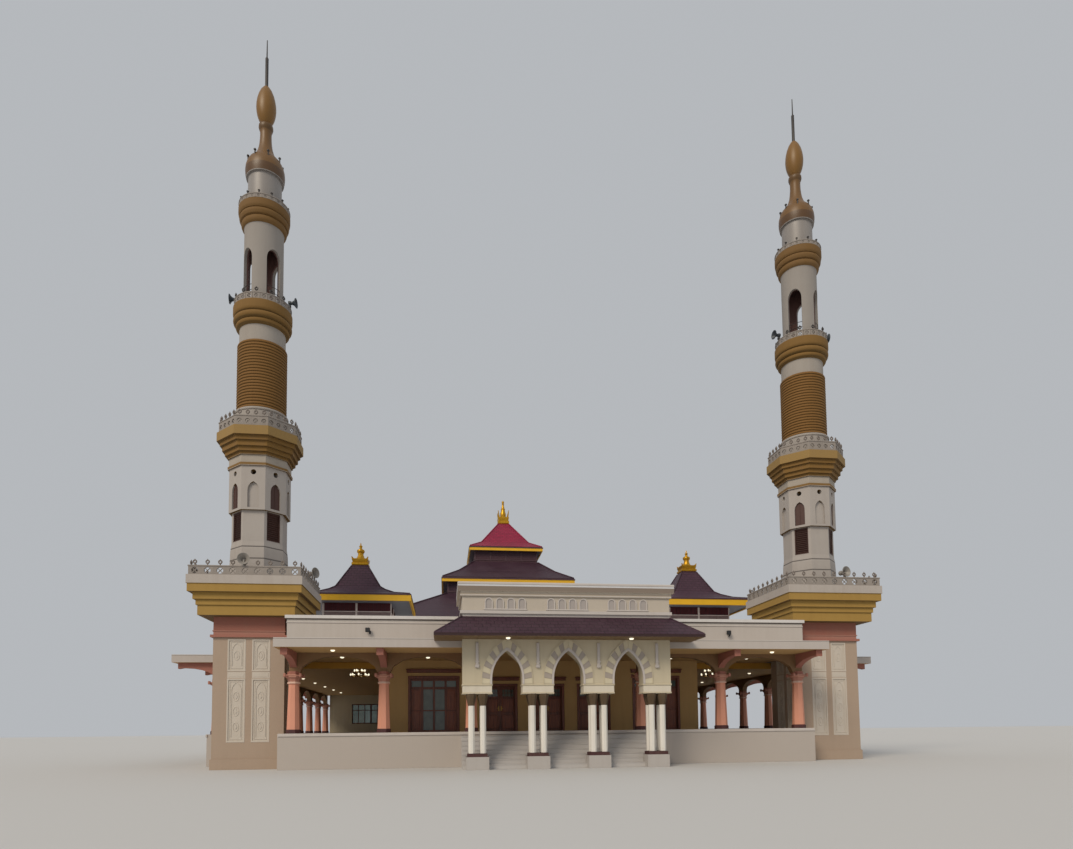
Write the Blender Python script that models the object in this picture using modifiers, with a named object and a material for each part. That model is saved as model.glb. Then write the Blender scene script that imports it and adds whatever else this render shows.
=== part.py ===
# Mosque with two tall minarets, an arched porch, open verandahs and tiered pyramid roofs.
# Metres, +Z up. X runs along the front, -Y faces the street, Z = 0 is the yard around the building.
import math

import bmesh
import bpy

GAP = 0.0003            # clearance between neighbouring solids
REACH = 0.5             # how far a cutter runs past the wall it cuts

# Levels
FLOOR_Z = 1.42
SOFFIT_Z = 4.65
ROOF_Z = 5.00
PARAPET_TOP_Z = 6.17

# Plan of the main building
WING_HALF = 11.00       # half width of the front verandah and its canopy
SIDE_HALF = 16.75       # half width over the side canopies
SIDE_COLUMN_X = 14.85
FRONT_COLUMN_Y = -15.91
FRONT_FASCIA_Y = -18.02
SIDE_FASCIA_Y = -11.96
SIDE_COLUMN_Y = -11.60
REAR_FASCIA_Y = 18.24
PLINTH_LIP = 0.35       # floor beyond the column axes

# Enclosed hall
HALL_HALF = 7.20
HALL_FRONT_Y = -12.96
HALL_REAR_Y = 17.64
HALL_WALL = 0.30
TOWER_FRONT_Y = 3.24    # front face of the clerestory under the tiered roof

# Doorways in the hall's front wall
DOOR_SPACING = 2.17
DOOR_WIDTH = 1.46
DOOR_HEIGHT = 2.05
LEAF_THICKNESS = 0.05
LEAF_CLEARANCE = 0.006
LEAF_MEETING = 0.010
LEAF_PROUD = 0.006
HINGE_RADIUS = 0.016
HINGE_LENGTH = 0.14
HINGE_INSET = 0.25
STRAP_LENGTH = 0.12

# Glazed screens in the front wall and windows in the side walls
SCREEN_CENTRE_X = 5.17
SCREEN_WIDTH = 2.18
SCREEN_HEIGHT = 2.41
SCREEN_FRAME = 0.09
SCREEN_DEPTH = 0.08
PANE_THICKNESS = 0.02
TRANSOM_HEIGHT = 0.42
WINDOW_WIDTH = 1.60
WINDOW_SILL = 0.75
WINDOW_HEIGHT = 1.70
WINDOWS_A_SIDE = 4
END_WINDOW_WIDTH = 3.20
GLASS_THICKNESS = 0.012

# Porch
PORCH_FACE_Y = -18.60
PORCH_WALL = 0.62
PORCH_HALF = 4.03
BAY = 2.35
ARCH_WIDTH = 1.16
ARCH_SPRING_Z = 3.20
ARCH_SHOULDER_Z = 3.72
ARCH_APEX_Z = 4.49
PIER_BLOCK_HEIGHT = 0.36
PEDESTAL_HEIGHT = 0.49
PEDESTAL_WIDTH = 0.86
PEDESTAL_LIP = 0.02
PAIR_SPACING = 0.43
PAIR_DEPTH = 0.38
PORCH_COLUMN_RADIUS = 0.11      # half width of an octagonal shaft
PORCH_CAPITAL = 0.45
EAVE_REACH = 1.05
EAVE_Z = 4.90
EAVE_THICKNESS = 0.12
SKIRT_TOP_Z = 5.77
PORCH_TOP_Z = 7.06
PORCH_PARAPET_WALL = 0.25
PORCH_DEPTH = 3.20

# Steps
RISERS = 8
TREAD = 0.28

# Verandah columns, arches and brackets
COLUMN_SPACING = 3.53
FIRST_COLUMN_X = 10.66
FRONT_COLUMNS = 3
SIDE_BAYS = 8
COLUMN_HALF = 0.245
COLUMN_TOP_HALF = 0.190
COLUMN_RING_Z = 3.43
CAPITAL_Z = 3.66
CAPITAL_HEIGHT = 0.11
CAPITAL_HALF = 0.31
NECK_HALF = 0.24
BEAM_SPRING_Z = 3.85
BEAM_THICKNESS = 0.30
BEAM_ARCH_Z = 4.52
BRACKET_THICKNESS = 0.26
BRACKET_FOOT_Z = 3.80
BRACKET_END_Z = 4.42
BRACKET_SETBACK = 0.20

# Flat roofs and parapets
PARAPET_FRONT_Y = -15.98
PARAPET_WALL = 0.22
CAP_HEIGHT = 0.14
CAP_REACH = 0.07
PARAPET_SIDE_X = 14.95
PARAPET_WING_X = 10.95
PARAPET_REAR_Y = 17.90

# Pavilions on the flat roof
PAVILION_X = 9.20
PAVILION_Y = -6.31
PAVILION_WALL_HALF = 1.72
PAVILION_WALL = 0.18
PAVILION_FASCIA_Z = 8.13
PAVILION_ROOF = [(0.41, 10.42), (0.68, 9.95), (0.95, 9.47), (1.15, 9.12), (1.42, 8.92), (1.92, 8.67), (2.80, 8.45)]
PAVILION_FINIAL_TOP = 11.75

# Three roofs of the hall
HALL_ROOF_Y = 10.44
TOP_TIER = [(0.40, 17.91), (1.83, 16.02), (2.78, 15.48)]
TOP_FASCIA_Z = 15.15
TOP_NECK_HALF = 2.40
MIDDLE_TIER = [(2.45, 14.33), (3.60, 13.37), (4.85, 12.62)]
MIDDLE_FASCIA_Z = 12.27
MIDDLE_NECK_HALF = 4.45
LOWER_TIER = [(4.50, 11.44), (6.86, 10.19), (9.21, 9.00)]
LOWER_FASCIA_Z = 8.70
TOWER_TOP_Z = 9.55
NECK_WALL = 0.25
ROOF_THICKNESS = 0.30
HALL_FINIAL_TOP = 19.93

# Minarets
MINARET_X = 12.60
MINARET_Y = -13.76
BASE_HALF = 1.40
BASE_WALL = 0.35
BASE_TOP_Z = 6.20
LEDGE_Z = 5.36
LEDGE_HEIGHT = 0.10
LEDGE_REACH = 0.10
PANEL_WIDTH = 0.70
PANEL_OFFSET = 0.48
PANEL_DEPTH = 0.05
PANEL_ROWS = [(1.10, 3.67), (3.98, 5.28)]
GALLERY_TOP_Z = 8.21
GALLERY_FLOOR_Z = 7.60
GALLERY_RAIL_HALF = 2.16
GALLERY_RAIL = 0.10
CORBEL = [(2.225, 7.77), (2.225, 7.42), (2.19, 7.42), (2.19, 7.10), (2.025, 7.10), (2.025, 6.82),
          (1.935, 6.82), (1.935, 6.60), (1.88, 6.60)]
SHAFT_BORE = 0.80
OCTAGON_UPPER = 1.165
OCTAGON_LOWER = 1.04
OCTAGON = [(1.58, 14.69), (1.58, 14.18), (1.645, 14.18), (1.645, 13.80), (1.53, 13.80), (1.53, 13.62),
           (1.44, 13.62), (1.44, 13.40), (1.34, 13.40), (1.34, 13.22), (1.24, 13.22), (1.24, 13.10),
           (1.18, 13.10), (1.18, 12.76), (1.23, 12.76), (1.23, 12.64), (OCTAGON_UPPER, 12.64),
           (OCTAGON_UPPER, 10.77), (OCTAGON_LOWER, 10.77), (OCTAGON_LOWER, 9.45), (1.08, 9.15), (1.11, 8.20)]
OCTAGON_FLOOR_Z = 14.05
OCTAGON_RAIL = 0.12
LOUVRE = (0.62, 9.52, 10.74)     # width, foot and head
NICHE = (0.46, 10.87, 11.97)     # width, sill and apex
NICHE_DEPTH = 0.10
ROUND_BORE = 0.74
ROUND = [(1.195, 20.21), (1.195, 19.90), (1.225, 19.90), (1.225, 19.56), (1.19, 19.47), (1.12, 19.45),
         (1.19, 19.40), (1.215, 19.30), (1.18, 19.20), (1.06, 19.17), (1.11, 19.12), (1.10, 19.02),
         (0.99, 18.97), (0.955, 18.93), (0.955, 18.24), (1.03, 18.23), (1.03, 15.15), (1.07, 15.15)]
ROUND_FLOOR_Z = 19.80
ROUND_RAIL = 0.09
LANTERN_BORE = 0.64
LANTERN = [(1.045, 24.75), (1.045, 24.50), (1.08, 24.50), (1.08, 24.24), (1.05, 24.17), (0.98, 24.15),
           (1.03, 24.09), (1.03, 23.96), (0.98, 23.89), (0.90, 23.87), (0.945, 23.81), (0.94, 23.68),
           (0.89, 23.60), (0.835, 23.58), (0.822, 23.50)]
LANTERN_FLOOR_Z = 24.45
LANTERN_CEILING_Z = 24.00
LANTERN_OPENING = (0.64, 20.05, 22.52)
SPIRE = [(0.02, 32.80), (0.03, 31.98), (0.07, 31.92), (0.07, 30.56), (0.20, 30.40), (0.33, 30.12),
         (0.41, 29.78), (0.425, 29.50), (0.38, 29.15), (0.28, 28.88), (0.19, 28.74), (0.30, 28.69),
         (0.31, 28.52), (0.25, 28.40), (0.245, 28.10), (0.27, 27.75), (0.34, 27.42), (0.47, 27.14),
         (0.68, 26.92), (0.81, 26.62), (0.836, 26.36), (0.79, 26.02), (0.707, 26.02)]
SPIRE_TOP_Z = 32.83
SPIRE_BORE = 0.50
SPIRE_CEILING_Z = 26.00
ROUND_SIDES = 24

# Colours, linear RGB, with roughness and metallic values
FINISHES = {
    "cream": ((0.62, 0.54, 0.42), 0.8, 0.0),
    "white": ((0.66, 0.62, 0.57), 0.8, 0.0),
    "ochre": ((0.46, 0.28, 0.09), 0.7, 0.0),
    "pink": ((0.55, 0.24, 0.17), 0.7, 0.0),
    "maroon": ((0.09, 0.04, 0.045), 0.6, 0.0),
    "crimson": ((0.25, 0.03, 0.05), 0.6, 0.0),
    "gold": ((0.70, 0.45, 0.08), 0.35, 1.0),
    "stone": ((0.35, 0.33, 0.32), 0.7, 0.0),
    "wood": ((0.08, 0.03, 0.015), 0.5, 0.0),
    "glass": ((0.10, 0.12, 0.12), 0.05, 0.0),
}


def clear_scene():
    for obj in list(bpy.data.objects):
        bpy.data.objects.remove(obj)


def new_collection(name):
    collection = bpy.data.collections.new(name)
    bpy.context.scene.collection.children.link(collection)
    return collection


clear_scene()
PARTS = new_collection("Mosque")
CUTTERS = new_collection("Cutters")


def finish(name):
    material = bpy.data.materials.get(name)
    if material is None:
        colour, roughness, metallic = FINISHES[name]
        material = bpy.data.materials.new(name)
        material.use_nodes = True
        shader = material.node_tree.nodes["Principled BSDF"]
        shader.inputs["Base Color"].default_value = (*colour, 1)
        shader.inputs["Roughness"].default_value = roughness
        shader.inputs["Metallic"].default_value = metallic
    return material


def place(obj, material):
    """Links a named part, or a helper where material is None."""
    if material is None:
        CUTTERS.objects.link(obj)
        obj.hide_render = True
        obj.display_type = "WIRE"
    else:
        PARTS.objects.link(obj)
        obj.data.materials.append(finish(material))
    return obj


def block(name, low, high, material=None):
    """A box between two corners."""
    mesh = bpy.data.meshes.new(name)
    shape = bmesh.new()
    bmesh.ops.create_cube(shape, size=1)
    bmesh.ops.scale(shape, vec=[b - a for a, b in zip(low, high)], verts=shape.verts)
    shape.to_mesh(mesh)
    shape.free()
    obj = bpy.data.objects.new(name, mesh)
    obj.location = [(a + b) / 2 for a, b in zip(low, high)]
    return place(obj, material)


def plate(name, points, thickness, material=None, location=(0, 0, 0), upright=False, turn=0.0):
    """A flat outline with a thickness. Upright, its second coordinate is Z and turn swings it about Z."""
    curve = bpy.data.curves.new(name, "CURVE")
    curve.dimensions = "2D"
    curve.fill_mode = "BOTH"
    curve.extrude = thickness / 2
    spline = curve.splines.new("POLY")
    spline.points.add(len(points) - 1)
    for point, (x, y) in zip(spline.points, points):
        point.co = (x, y, 0, 1)
    spline.use_cyclic_u = True
    drawn = bpy.data.objects.new(name + "_outline", curve)
    bpy.context.scene.collection.objects.link(drawn)
    graph = bpy.context.evaluated_depsgraph_get()
    mesh = bpy.data.meshes.new_from_object(drawn.evaluated_get(graph))
    bpy.data.objects.remove(drawn)
    shape = bmesh.new()
    shape.from_mesh(mesh)
    bmesh.ops.remove_doubles(shape, verts=shape.verts, dist=0.00005)
    bmesh.ops.dissolve_limit(shape, angle_limit=0.001, verts=shape.verts, edges=shape.edges)
    bmesh.ops.recalc_face_normals(shape, faces=shape.faces)
    shape.to_mesh(mesh)
    shape.free()
    mesh.name = name
    obj = bpy.data.objects.new(name, mesh)
    obj.location = location
    obj.rotation_euler = (math.pi / 2 if upright else 0, 0, turn)
    return place(obj, material)


def solid(name, points, faces, material=None):
    """A mesh from listed corners and faces, with every face turned outwards."""
    mesh = bpy.data.meshes.new(name)
    mesh.from_pydata(points, [], faces)
    shape = bmesh.new()
    shape.from_mesh(mesh)
    bmesh.ops.recalc_face_normals(shape, faces=shape.faces)
    shape.to_mesh(mesh)
    shape.free()
    return place(bpy.data.objects.new(name, mesh), material)


def arched_beam(name, lower, top, thickness, material=None, location=(0, 0, 0), turn=0.0):
    """A wall between a level top and an underside that follows the lower points from left to right."""
    points = []
    for x, z in lower:
        points += [(x, -thickness / 2, z), (x, -thickness / 2, top), (x, thickness / 2, top), (x, thickness / 2, z)]
    faces = [(3, 2, 1, 0), tuple(len(points) - 4 + i for i in range(4))]
    for i in range(len(lower) - 1):
        for a in range(4):
            b = (a + 1) % 4
            faces.append((4 * i + a, 4 * i + b, 4 * i + 4 + b, 4 * i + 4 + a))
    beam = solid(name, points, faces, material)
    beam.location = location
    beam.rotation_euler = (0, 0, turn)
    return beam


def turned(name, profile, sides, material=None, centre=(0, 0)):
    """A profile of (half width, height) turned about Z. With few sides the half width is to a flat."""
    corner = 1 / math.cos(math.pi / sides) if sides <= 8 else 1
    mesh = bpy.data.meshes.new(name)
    points = [(half * corner, 0, z) for half, z in profile]
    edges = [(i, i + 1) for i in range(len(points) - 1)]
    if profile[0][0] > 0:
        edges.append((len(points) - 1, 0))
    mesh.from_pydata(points, edges, [])
    obj = bpy.data.objects.new(name, mesh)
    obj.location = (*centre, 0)
    obj.rotation_euler = (0, 0, math.pi / sides)
    screw = obj.modifiers.new("Turn", "SCREW")
    screw.steps = sides
    screw.render_steps = sides
    screw.use_merge_vertices = True
    screw.merge_threshold = 0.0001
    screw.use_smooth_shade = sides > 8
    return place(obj, material)


def change(obj, other, operation):
    modifier = obj.modifiers.new(operation.title(), "BOOLEAN")
    modifier.operation = operation
    modifier.solver = "EXACT"
    modifier.object = other


def cut(obj, *cutters):
    for cutter in cutters:
        change(obj, cutter, "DIFFERENCE")


def fuse(obj, *others):
    for other in others:
        change(obj, other, "UNION")


def boxes(name, corners):
    """One helper that holds several separate boxes."""
    mesh = bpy.data.meshes.new(name)
    shape = bmesh.new()
    for low, high in corners:
        made = bmesh.ops.create_cube(shape, size=1)["verts"]
        bmesh.ops.scale(shape, vec=[b - a for a, b in zip(low, high)], verts=made)
        bmesh.ops.translate(shape, vec=[(a + b) / 2 for a, b in zip(low, high)], verts=made)
    shape.to_mesh(mesh)
    shape.free()
    return place(bpy.data.objects.new(name, mesh), None)


def pointed(centre, width, foot, spring, apex, steps=6):
    """Outline of a pointed opening, anticlockwise from its foot at the right."""
    half = width / 2
    rise = apex - spring
    radius = (half * half + rise * rise) / (2 * half)
    sweep = math.asin(min(1, rise / radius))
    right = [(centre + half - radius + radius * math.cos(sweep * i / steps),
              spring + radius * math.sin(sweep * i / steps)) for i in range(steps + 1)]
    left = [(2 * centre - x, z) for x, z in reversed(right[:-1])]
    feet = [(centre + half, foot)] if foot < spring else []
    ends = [(centre - half, foot)] if foot < spring else []
    return feet + right + left + ends


def keel(centre, width, spring, shoulder, apex, steps=5):
    """Outline of a keel arch with near upright feet, round shoulders and a straight-sided point."""
    batter = 0.01
    radius = width / 2 - batter
    sweep = math.radians(49)
    right = [(width / 2, spring)] + [(radius * math.cos(sweep * i / steps), shoulder + radius * math.sin(sweep * i / steps))
                                     for i in range(steps + 1)]
    return [(centre - x, z) for x, z in right] + [(centre, apex)] + [(centre + x, z) for x, z in reversed(right)]


def arched_soffit(start, end, spring, apex, steps=8):
    """Points of a low elliptical arch from start to end, both ends included."""
    middle, half = (start + end) / 2, (end - start) / 2
    return [(middle - half * math.cos(math.pi * i / steps),
             spring + (apex - spring) * math.sin(math.pi * i / steps)) for i in range(steps + 1)]


# Raised floor and front steps

def floor_platform():
    front = FRONT_COLUMN_Y - PLINTH_LIP
    side = SIDE_COLUMN_X + PLINTH_LIP
    middle = SIDE_COLUMN_Y - PLINTH_LIP
    rear = HALL_REAR_Y + PLINTH_LIP
    wing = MINARET_X - BASE_HALF - GAP
    outline = [(-wing, front), (wing, front), (wing, middle), (side, middle),
               (side, rear), (-side, rear), (-side, middle), (-wing, middle)]
    plate("floor_platform", outline, FLOOR_Z, "white", (0, 0, FLOOR_Z / 2))


def front_steps():
    """A flight with level treads, notched round the pedestals that stand on its foot."""
    back = FRONT_COLUMN_Y - PLINTH_LIP - GAP
    riser = FLOOR_Z / RISERS
    count = RISERS - 1
    noses = [back - TREAD * (count - i) for i in range(count)]
    points, faces = [], []
    for x in (-PORCH_HALF, PORCH_HALF):
        points += [(x, y, riser * i) for i, y in enumerate(noses)]
        points += [(x, y, riser * (i + 1)) for i, y in enumerate(noses)]
        points += [(x, back, riser * i) for i in range(count + 1)]
    far = len(points) // 2
    foot, top, rear = 0, count, 2 * count
    for i in range(count):
        # Both sides are drawn one layer at a time, so no triangle runs along the line of the noses.
        layer = [(foot + i, rear + i, rear + i + 1)]
        if i < count - 1:
            layer += [(foot + i, rear + i + 1, foot + i + 1), (foot + i, foot + i + 1, top + i)]
            faces.append((top + i, foot + i + 1, far + foot + i + 1, far + top + i))
        else:
            layer.append((foot + i, rear + i + 1, top + i))
            faces.append((top + i, rear + i + 1, far + rear + i + 1, far + top + i))
        faces += layer + [tuple(far + corner for corner in face) for face in layer]
        faces.append((foot + i, top + i, far + top + i, far + foot + i))
        faces.append((rear + i, rear + i + 1, far + rear + i + 1, far + rear + i))
    faces.append((foot, rear, far + rear, far + foot))
    steps = solid("front_steps", points, faces, "stone")
    notches = []
    for x in pier_centres():
        low, high = pedestal_corners(x)
        notches.append(([low[0] - GAP, low[1] - REACH, low[2] - REACH], [high[0] + GAP, high[1] + GAP, high[2] + REACH]))
    cut(steps, boxes("step_notches", notches))


# Porch

def pier_centres():
    """The outer piers are trimmed to the porch's corners, so their centres move in a little."""
    outer = (BAY + ARCH_WIDTH / 2 + PORCH_HALF) / 2
    return [-outer, -BAY / 2, BAY / 2, outer]


def pedestal_corners(x):
    half = PEDESTAL_WIDTH / 2
    return ((x - half, PORCH_FACE_Y - PEDESTAL_LIP, 0), (x + half, PORCH_FACE_Y + PORCH_WALL + PEDESTAL_LIP, PEDESTAL_HEIGHT))


def porch_piers():
    block_bottom = ARCH_SPRING_Z - PIER_BLOCK_HEIGHT
    radius = PORCH_COLUMN_RADIUS
    capital_z = block_bottom - PORCH_CAPITAL
    profile = [(0, block_bottom + 0.02), (1.7 * radius, block_bottom + 0.02), (1.7 * radius, block_bottom - 0.10),
               (radius, capital_z), (radius, PEDESTAL_HEIGHT + 0.05), (0, PEDESTAL_HEIGHT + 0.05)]
    for number, x in enumerate(pier_centres(), start=1):
        outer = number in (1, 4)
        half = (PORCH_HALF - BAY - ARCH_WIDTH / 2) / 2 if outer else (BAY - ARCH_WIDTH) / 2
        name = f"porch_pier_{number}"
        pier = block(name, (x - half, PORCH_FACE_Y, block_bottom), (x + half, PORCH_FACE_Y + PORCH_WALL, ARCH_SPRING_Z - GAP), "white")
        fuse(pier, block(name + "_pedestal", *pedestal_corners(x)))
        middle_y = PORCH_FACE_Y + PORCH_WALL / 2
        across, along = PAIR_SPACING / 2 + 1.45 * radius, PAIR_DEPTH / 2 + 1.2 * radius
        fuse(pier, block(name + "_slab", (x - across, middle_y - along, PEDESTAL_HEIGHT - 0.02),
                         (x + across, middle_y + along, PEDESTAL_HEIGHT + 0.11)))
        for i, (across, along) in enumerate([(-1, -1), (1, -1), (-1, 1), (1, 1)], start=1):
            centre = (x + across * PAIR_SPACING / 2, middle_y + along * PAIR_DEPTH / 2)
            fuse(pier, turned(f"{name}_column_{i}", profile, 8, None, centre))


def porch_arch_wall():
    lower = [(-PORCH_HALF, ARCH_SPRING_Z)]
    for x in (-BAY, 0, BAY):
        lower += keel(x, ARCH_WIDTH, ARCH_SPRING_Z, ARCH_SHOULDER_Z, ARCH_APEX_Z)
    lower.append((PORCH_HALF, ARCH_SPRING_Z))
    arched_beam("porch_arch_wall", lower, ROOF_Z, PORCH_WALL, "cream", (0, PORCH_FACE_Y + PORCH_WALL / 2, 0))


def porch_skirt_roof():
    """Tiled skirt with hipped corners round the front and sides of the porch."""
    rear = PARAPET_FRONT_Y - GAP
    inner = PORCH_HALF + GAP
    outer = PORCH_HALF + EAVE_REACH
    front = PORCH_FACE_Y - EAVE_REACH
    levels = [(outer, front, EAVE_Z), (outer, front, EAVE_Z + EAVE_THICKNESS), (inner, PORCH_FACE_Y - GAP, SKIRT_TOP_Z)]
    points = []
    for half, face, z in levels:
        points += [(-half, face, z), (half, face, z), (half, rear, z), (-half, rear, z)]
    faces = [(3, 2, 1, 0), (8, 9, 10, 11)]
    for level in (0, 4):
        for i in range(4):
            j = (i + 1) % 4
            faces.append((level + i, level + j, level + 4 + j, level + 4 + i))
    roof = solid("porch_skirt_roof", points, faces, "maroon")
    core = block("skirt_core", (-inner, PORCH_FACE_Y - GAP, EAVE_Z - REACH), (inner, rear + REACH, SKIRT_TOP_Z + REACH))
    over_canopy = block("skirt_over_canopy", (-outer - REACH, FRONT_FASCIA_Y - GAP, EAVE_Z - REACH),
                        (outer + REACH, rear + REACH, ROOF_Z + GAP))
    cut(roof, core, over_canopy)


def porch_parapet():
    rear = PORCH_FACE_Y + PORCH_DEPTH
    wall = PORCH_PARAPET_WALL
    low = ROOF_Z + GAP
    body = block("porch_parapet", (-PORCH_HALF, PORCH_FACE_Y, low), (PORCH_HALF, rear, PORCH_TOP_Z - 0.30), "white")
    cornice = block("porch_cornice", (-PORCH_HALF - 0.16, PORCH_FACE_Y - 0.16, PORCH_TOP_Z - 0.34),
                    (PORCH_HALF + 0.16, rear + 0.16, PORCH_TOP_Z))
    lower = block("porch_lower_mould", (-PORCH_HALF - 0.07, PORCH_FACE_Y - 0.07, PORCH_TOP_Z - 0.52),
                  (PORCH_HALF + 0.07, rear + 0.07, PORCH_TOP_Z - 0.32))
    ledge = block("porch_ledge", (-PORCH_HALF - 0.08, PORCH_FACE_Y - 0.08, SKIRT_TOP_Z + GAP + 0.10),
                  (PORCH_HALF + 0.08, rear + 0.08, SKIRT_TOP_Z + 0.22))
    fuse(body, cornice, lower, ledge)
    room = block("porch_parapet_room", (-PORCH_HALF + wall, PORCH_FACE_Y + wall, low - REACH),
                 (PORCH_HALF - wall, rear - wall, PORCH_TOP_Z + REACH))
    cut(body, room)


# Verandahs

def column_profile(top):
    half, narrow = COLUMN_HALF, COLUMN_TOP_HALF
    return [(0, top), (NECK_HALF, top), (NECK_HALF, CAPITAL_Z + CAPITAL_HEIGHT), (CAPITAL_HALF, CAPITAL_Z + CAPITAL_HEIGHT),
            (CAPITAL_HALF, CAPITAL_Z), (1.25 * narrow, CAPITAL_Z - 0.05), (1.08 * narrow, COLUMN_RING_Z + 0.05),
            (1.22 * narrow, COLUMN_RING_Z + 0.03), (1.22 * narrow, COLUMN_RING_Z - 0.03), (narrow, COLUMN_RING_Z - 0.05),
            (half, FLOOR_Z + 0.16), (1.12 * half, FLOOR_Z + 0.14), (1.12 * half, FLOOR_Z + GAP), (0, FLOOR_Z + GAP)]


def bracket_outline(reach, steps=6):
    """Curved cantilever from a column's axis at 0 out to reach, in plan distance and height."""
    top = SOFFIT_Z - 0.003
    block_length = 0.22
    span = reach - block_length
    curve = [(span * (1 - math.cos(math.pi / 2 * i / steps)),
              BRACKET_FOOT_Z + (BRACKET_END_Z - BRACKET_FOOT_Z) * math.sin(math.pi / 2 * i / steps))
             for i in range(steps + 1)]
    return [(-0.1, top), (-0.1, BRACKET_FOOT_Z)] + curve + [(reach, BRACKET_END_Z - 0.04), (reach, top)]


def arcade(name, columns, first, last, across, reach, along_x):
    """A row of columns with brackets, joined by one beam whose soffit arches between them."""
    top = SOFFIT_Z - GAP
    spring = BEAM_SPRING_Z
    lower = [(first, spring)]
    for start, end in zip(columns[:-1], columns[1:]):
        lower += arched_soffit(start + NECK_HALF * 1.05, end - NECK_HALF * 1.05, spring, BEAM_ARCH_Z)
    lower.append((last, spring))
    # In a row along Y the beam is swung a quarter turn, so its points run along Y.
    turn = 0 if along_x else math.pi / 2
    location = (0, across, 0) if along_x else (across, 0, 0)
    beam = arched_beam(name, lower, top, BEAM_THICKNESS, "pink", location, turn)
    out = math.copysign(1, across)
    for number, position in enumerate(columns, start=1):
        centre = (position, across) if along_x else (across, position)
        column = turned(f"{name}_column_{number}", column_profile(spring + 0.05), 8, None, centre)
        bracket = plate(f"{name}_bracket_{number}", bracket_outline(reach), BRACKET_THICKNESS, None,
                        (centre[0], centre[1], 0), upright=True,
                        turn=(-math.pi / 2 if along_x else (0 if out > 0 else math.pi)))
        fuse(beam, column, bracket)
    return beam


def verandah_arcades():
    columns = [FIRST_COLUMN_X - COLUMN_SPACING * i for i in range(FRONT_COLUMNS)]
    reach = FRONT_COLUMN_Y - FRONT_FASCIA_Y - BRACKET_SETBACK
    inner = columns[-1] - 0.85 * COLUMN_TOP_HALF
    outer = columns[0] + 0.85 * COLUMN_TOP_HALF
    arcade("left_front_arcade", [-x for x in columns], -outer, -inner, FRONT_COLUMN_Y, reach, True)
    arcade("right_front_arcade", list(reversed(columns)), inner, outer, FRONT_COLUMN_Y, reach, True)
    last = HALL_REAR_Y - COLUMN_HALF * 1.2
    step = (last - SIDE_COLUMN_Y) / SIDE_BAYS
    rows = [SIDE_COLUMN_Y + step * i for i in range(SIDE_BAYS)]
    rows.append(last)
    side_reach = SIDE_HALF - SIDE_COLUMN_X - BRACKET_SETBACK
    for name, side in (("left_side_arcade", -1), ("right_side_arcade", 1)):
        arcade(name, rows, SIDE_COLUMN_Y - 0.85 * COLUMN_TOP_HALF, last + 0.85 * COLUMN_TOP_HALF,
               side * SIDE_COLUMN_X, side_reach, False)


# Walls of the hall

def front_walls():
    back = HALL_FRONT_Y + HALL_WALL
    low, high = FLOOR_Z + GAP, SOFFIT_Z - GAP
    edge = DOOR_SPACING + DOOR_WIDTH / 2
    head = FLOOR_Z + DOOR_HEIGHT
    for name, side in (("front_wall_left", -1), ("front_wall_right", 1)):
        ends = sorted((side * (edge + GAP), side * HALL_HALF))
        wall = block(name, (ends[0], HALL_FRONT_Y, low), (ends[1], back, high), "cream")
        x = side * SCREEN_CENTRE_X
        opening = block(name + "_opening", (x - SCREEN_WIDTH / 2, HALL_FRONT_Y - REACH, FLOOR_Z - REACH),
                        (x + SCREEN_WIDTH / 2, back + REACH, FLOOR_Z + SCREEN_HEIGHT))
        cut(wall, opening)
    block("front_wall_lintel", (-edge, HALL_FRONT_Y, head), (edge, back, high), "cream")
    for name, side in (("front_wall_pier_left", -1), ("front_wall_pier_right", 1)):
        ends = sorted((side * DOOR_WIDTH / 2, side * (DOOR_SPACING - DOOR_WIDTH / 2)))
        block(name, (ends[0], HALL_FRONT_Y, low), (ends[1], back, head - GAP), "cream")


def window_places():
    length = HALL_REAR_Y - HALL_FRONT_Y
    return [HALL_FRONT_Y + length * (i + 0.5) / WINDOWS_A_SIDE for i in range(WINDOWS_A_SIDE)]


def side_walls():
    front, rear = HALL_FRONT_Y + HALL_WALL + GAP, HALL_REAR_Y - HALL_WALL - GAP
    sill = FLOOR_Z + WINDOW_SILL
    for side, word in ((-1, "left"), (1, "right")):
        ends = sorted((side * HALL_HALF, side * (HALL_HALF - HALL_WALL)))
        wall = block(f"hall_{word}_wall", (ends[0], front, FLOOR_Z + GAP), (ends[1], rear, SOFFIT_Z - GAP), "cream")
        holes = [((ends[0] - REACH, y - WINDOW_WIDTH / 2, sill), (ends[1] + REACH, y + WINDOW_WIDTH / 2, sill + WINDOW_HEIGHT))
                 for y in window_places()]
        cut(wall, boxes(f"hall_{word}_windows", holes))
        inner = side * (HALL_HALF - HALL_WALL - GAP)
        sheet = sorted((inner, inner - side * GLASS_THICKNESS))
        first, last = window_places()[0], window_places()[-1]
        block(f"hall_{word}_glass", (sheet[0], first - WINDOW_WIDTH, sill - 0.1),
              (sheet[1], last + WINDOW_WIDTH, sill + WINDOW_HEIGHT + 0.1), "glass")


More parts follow.
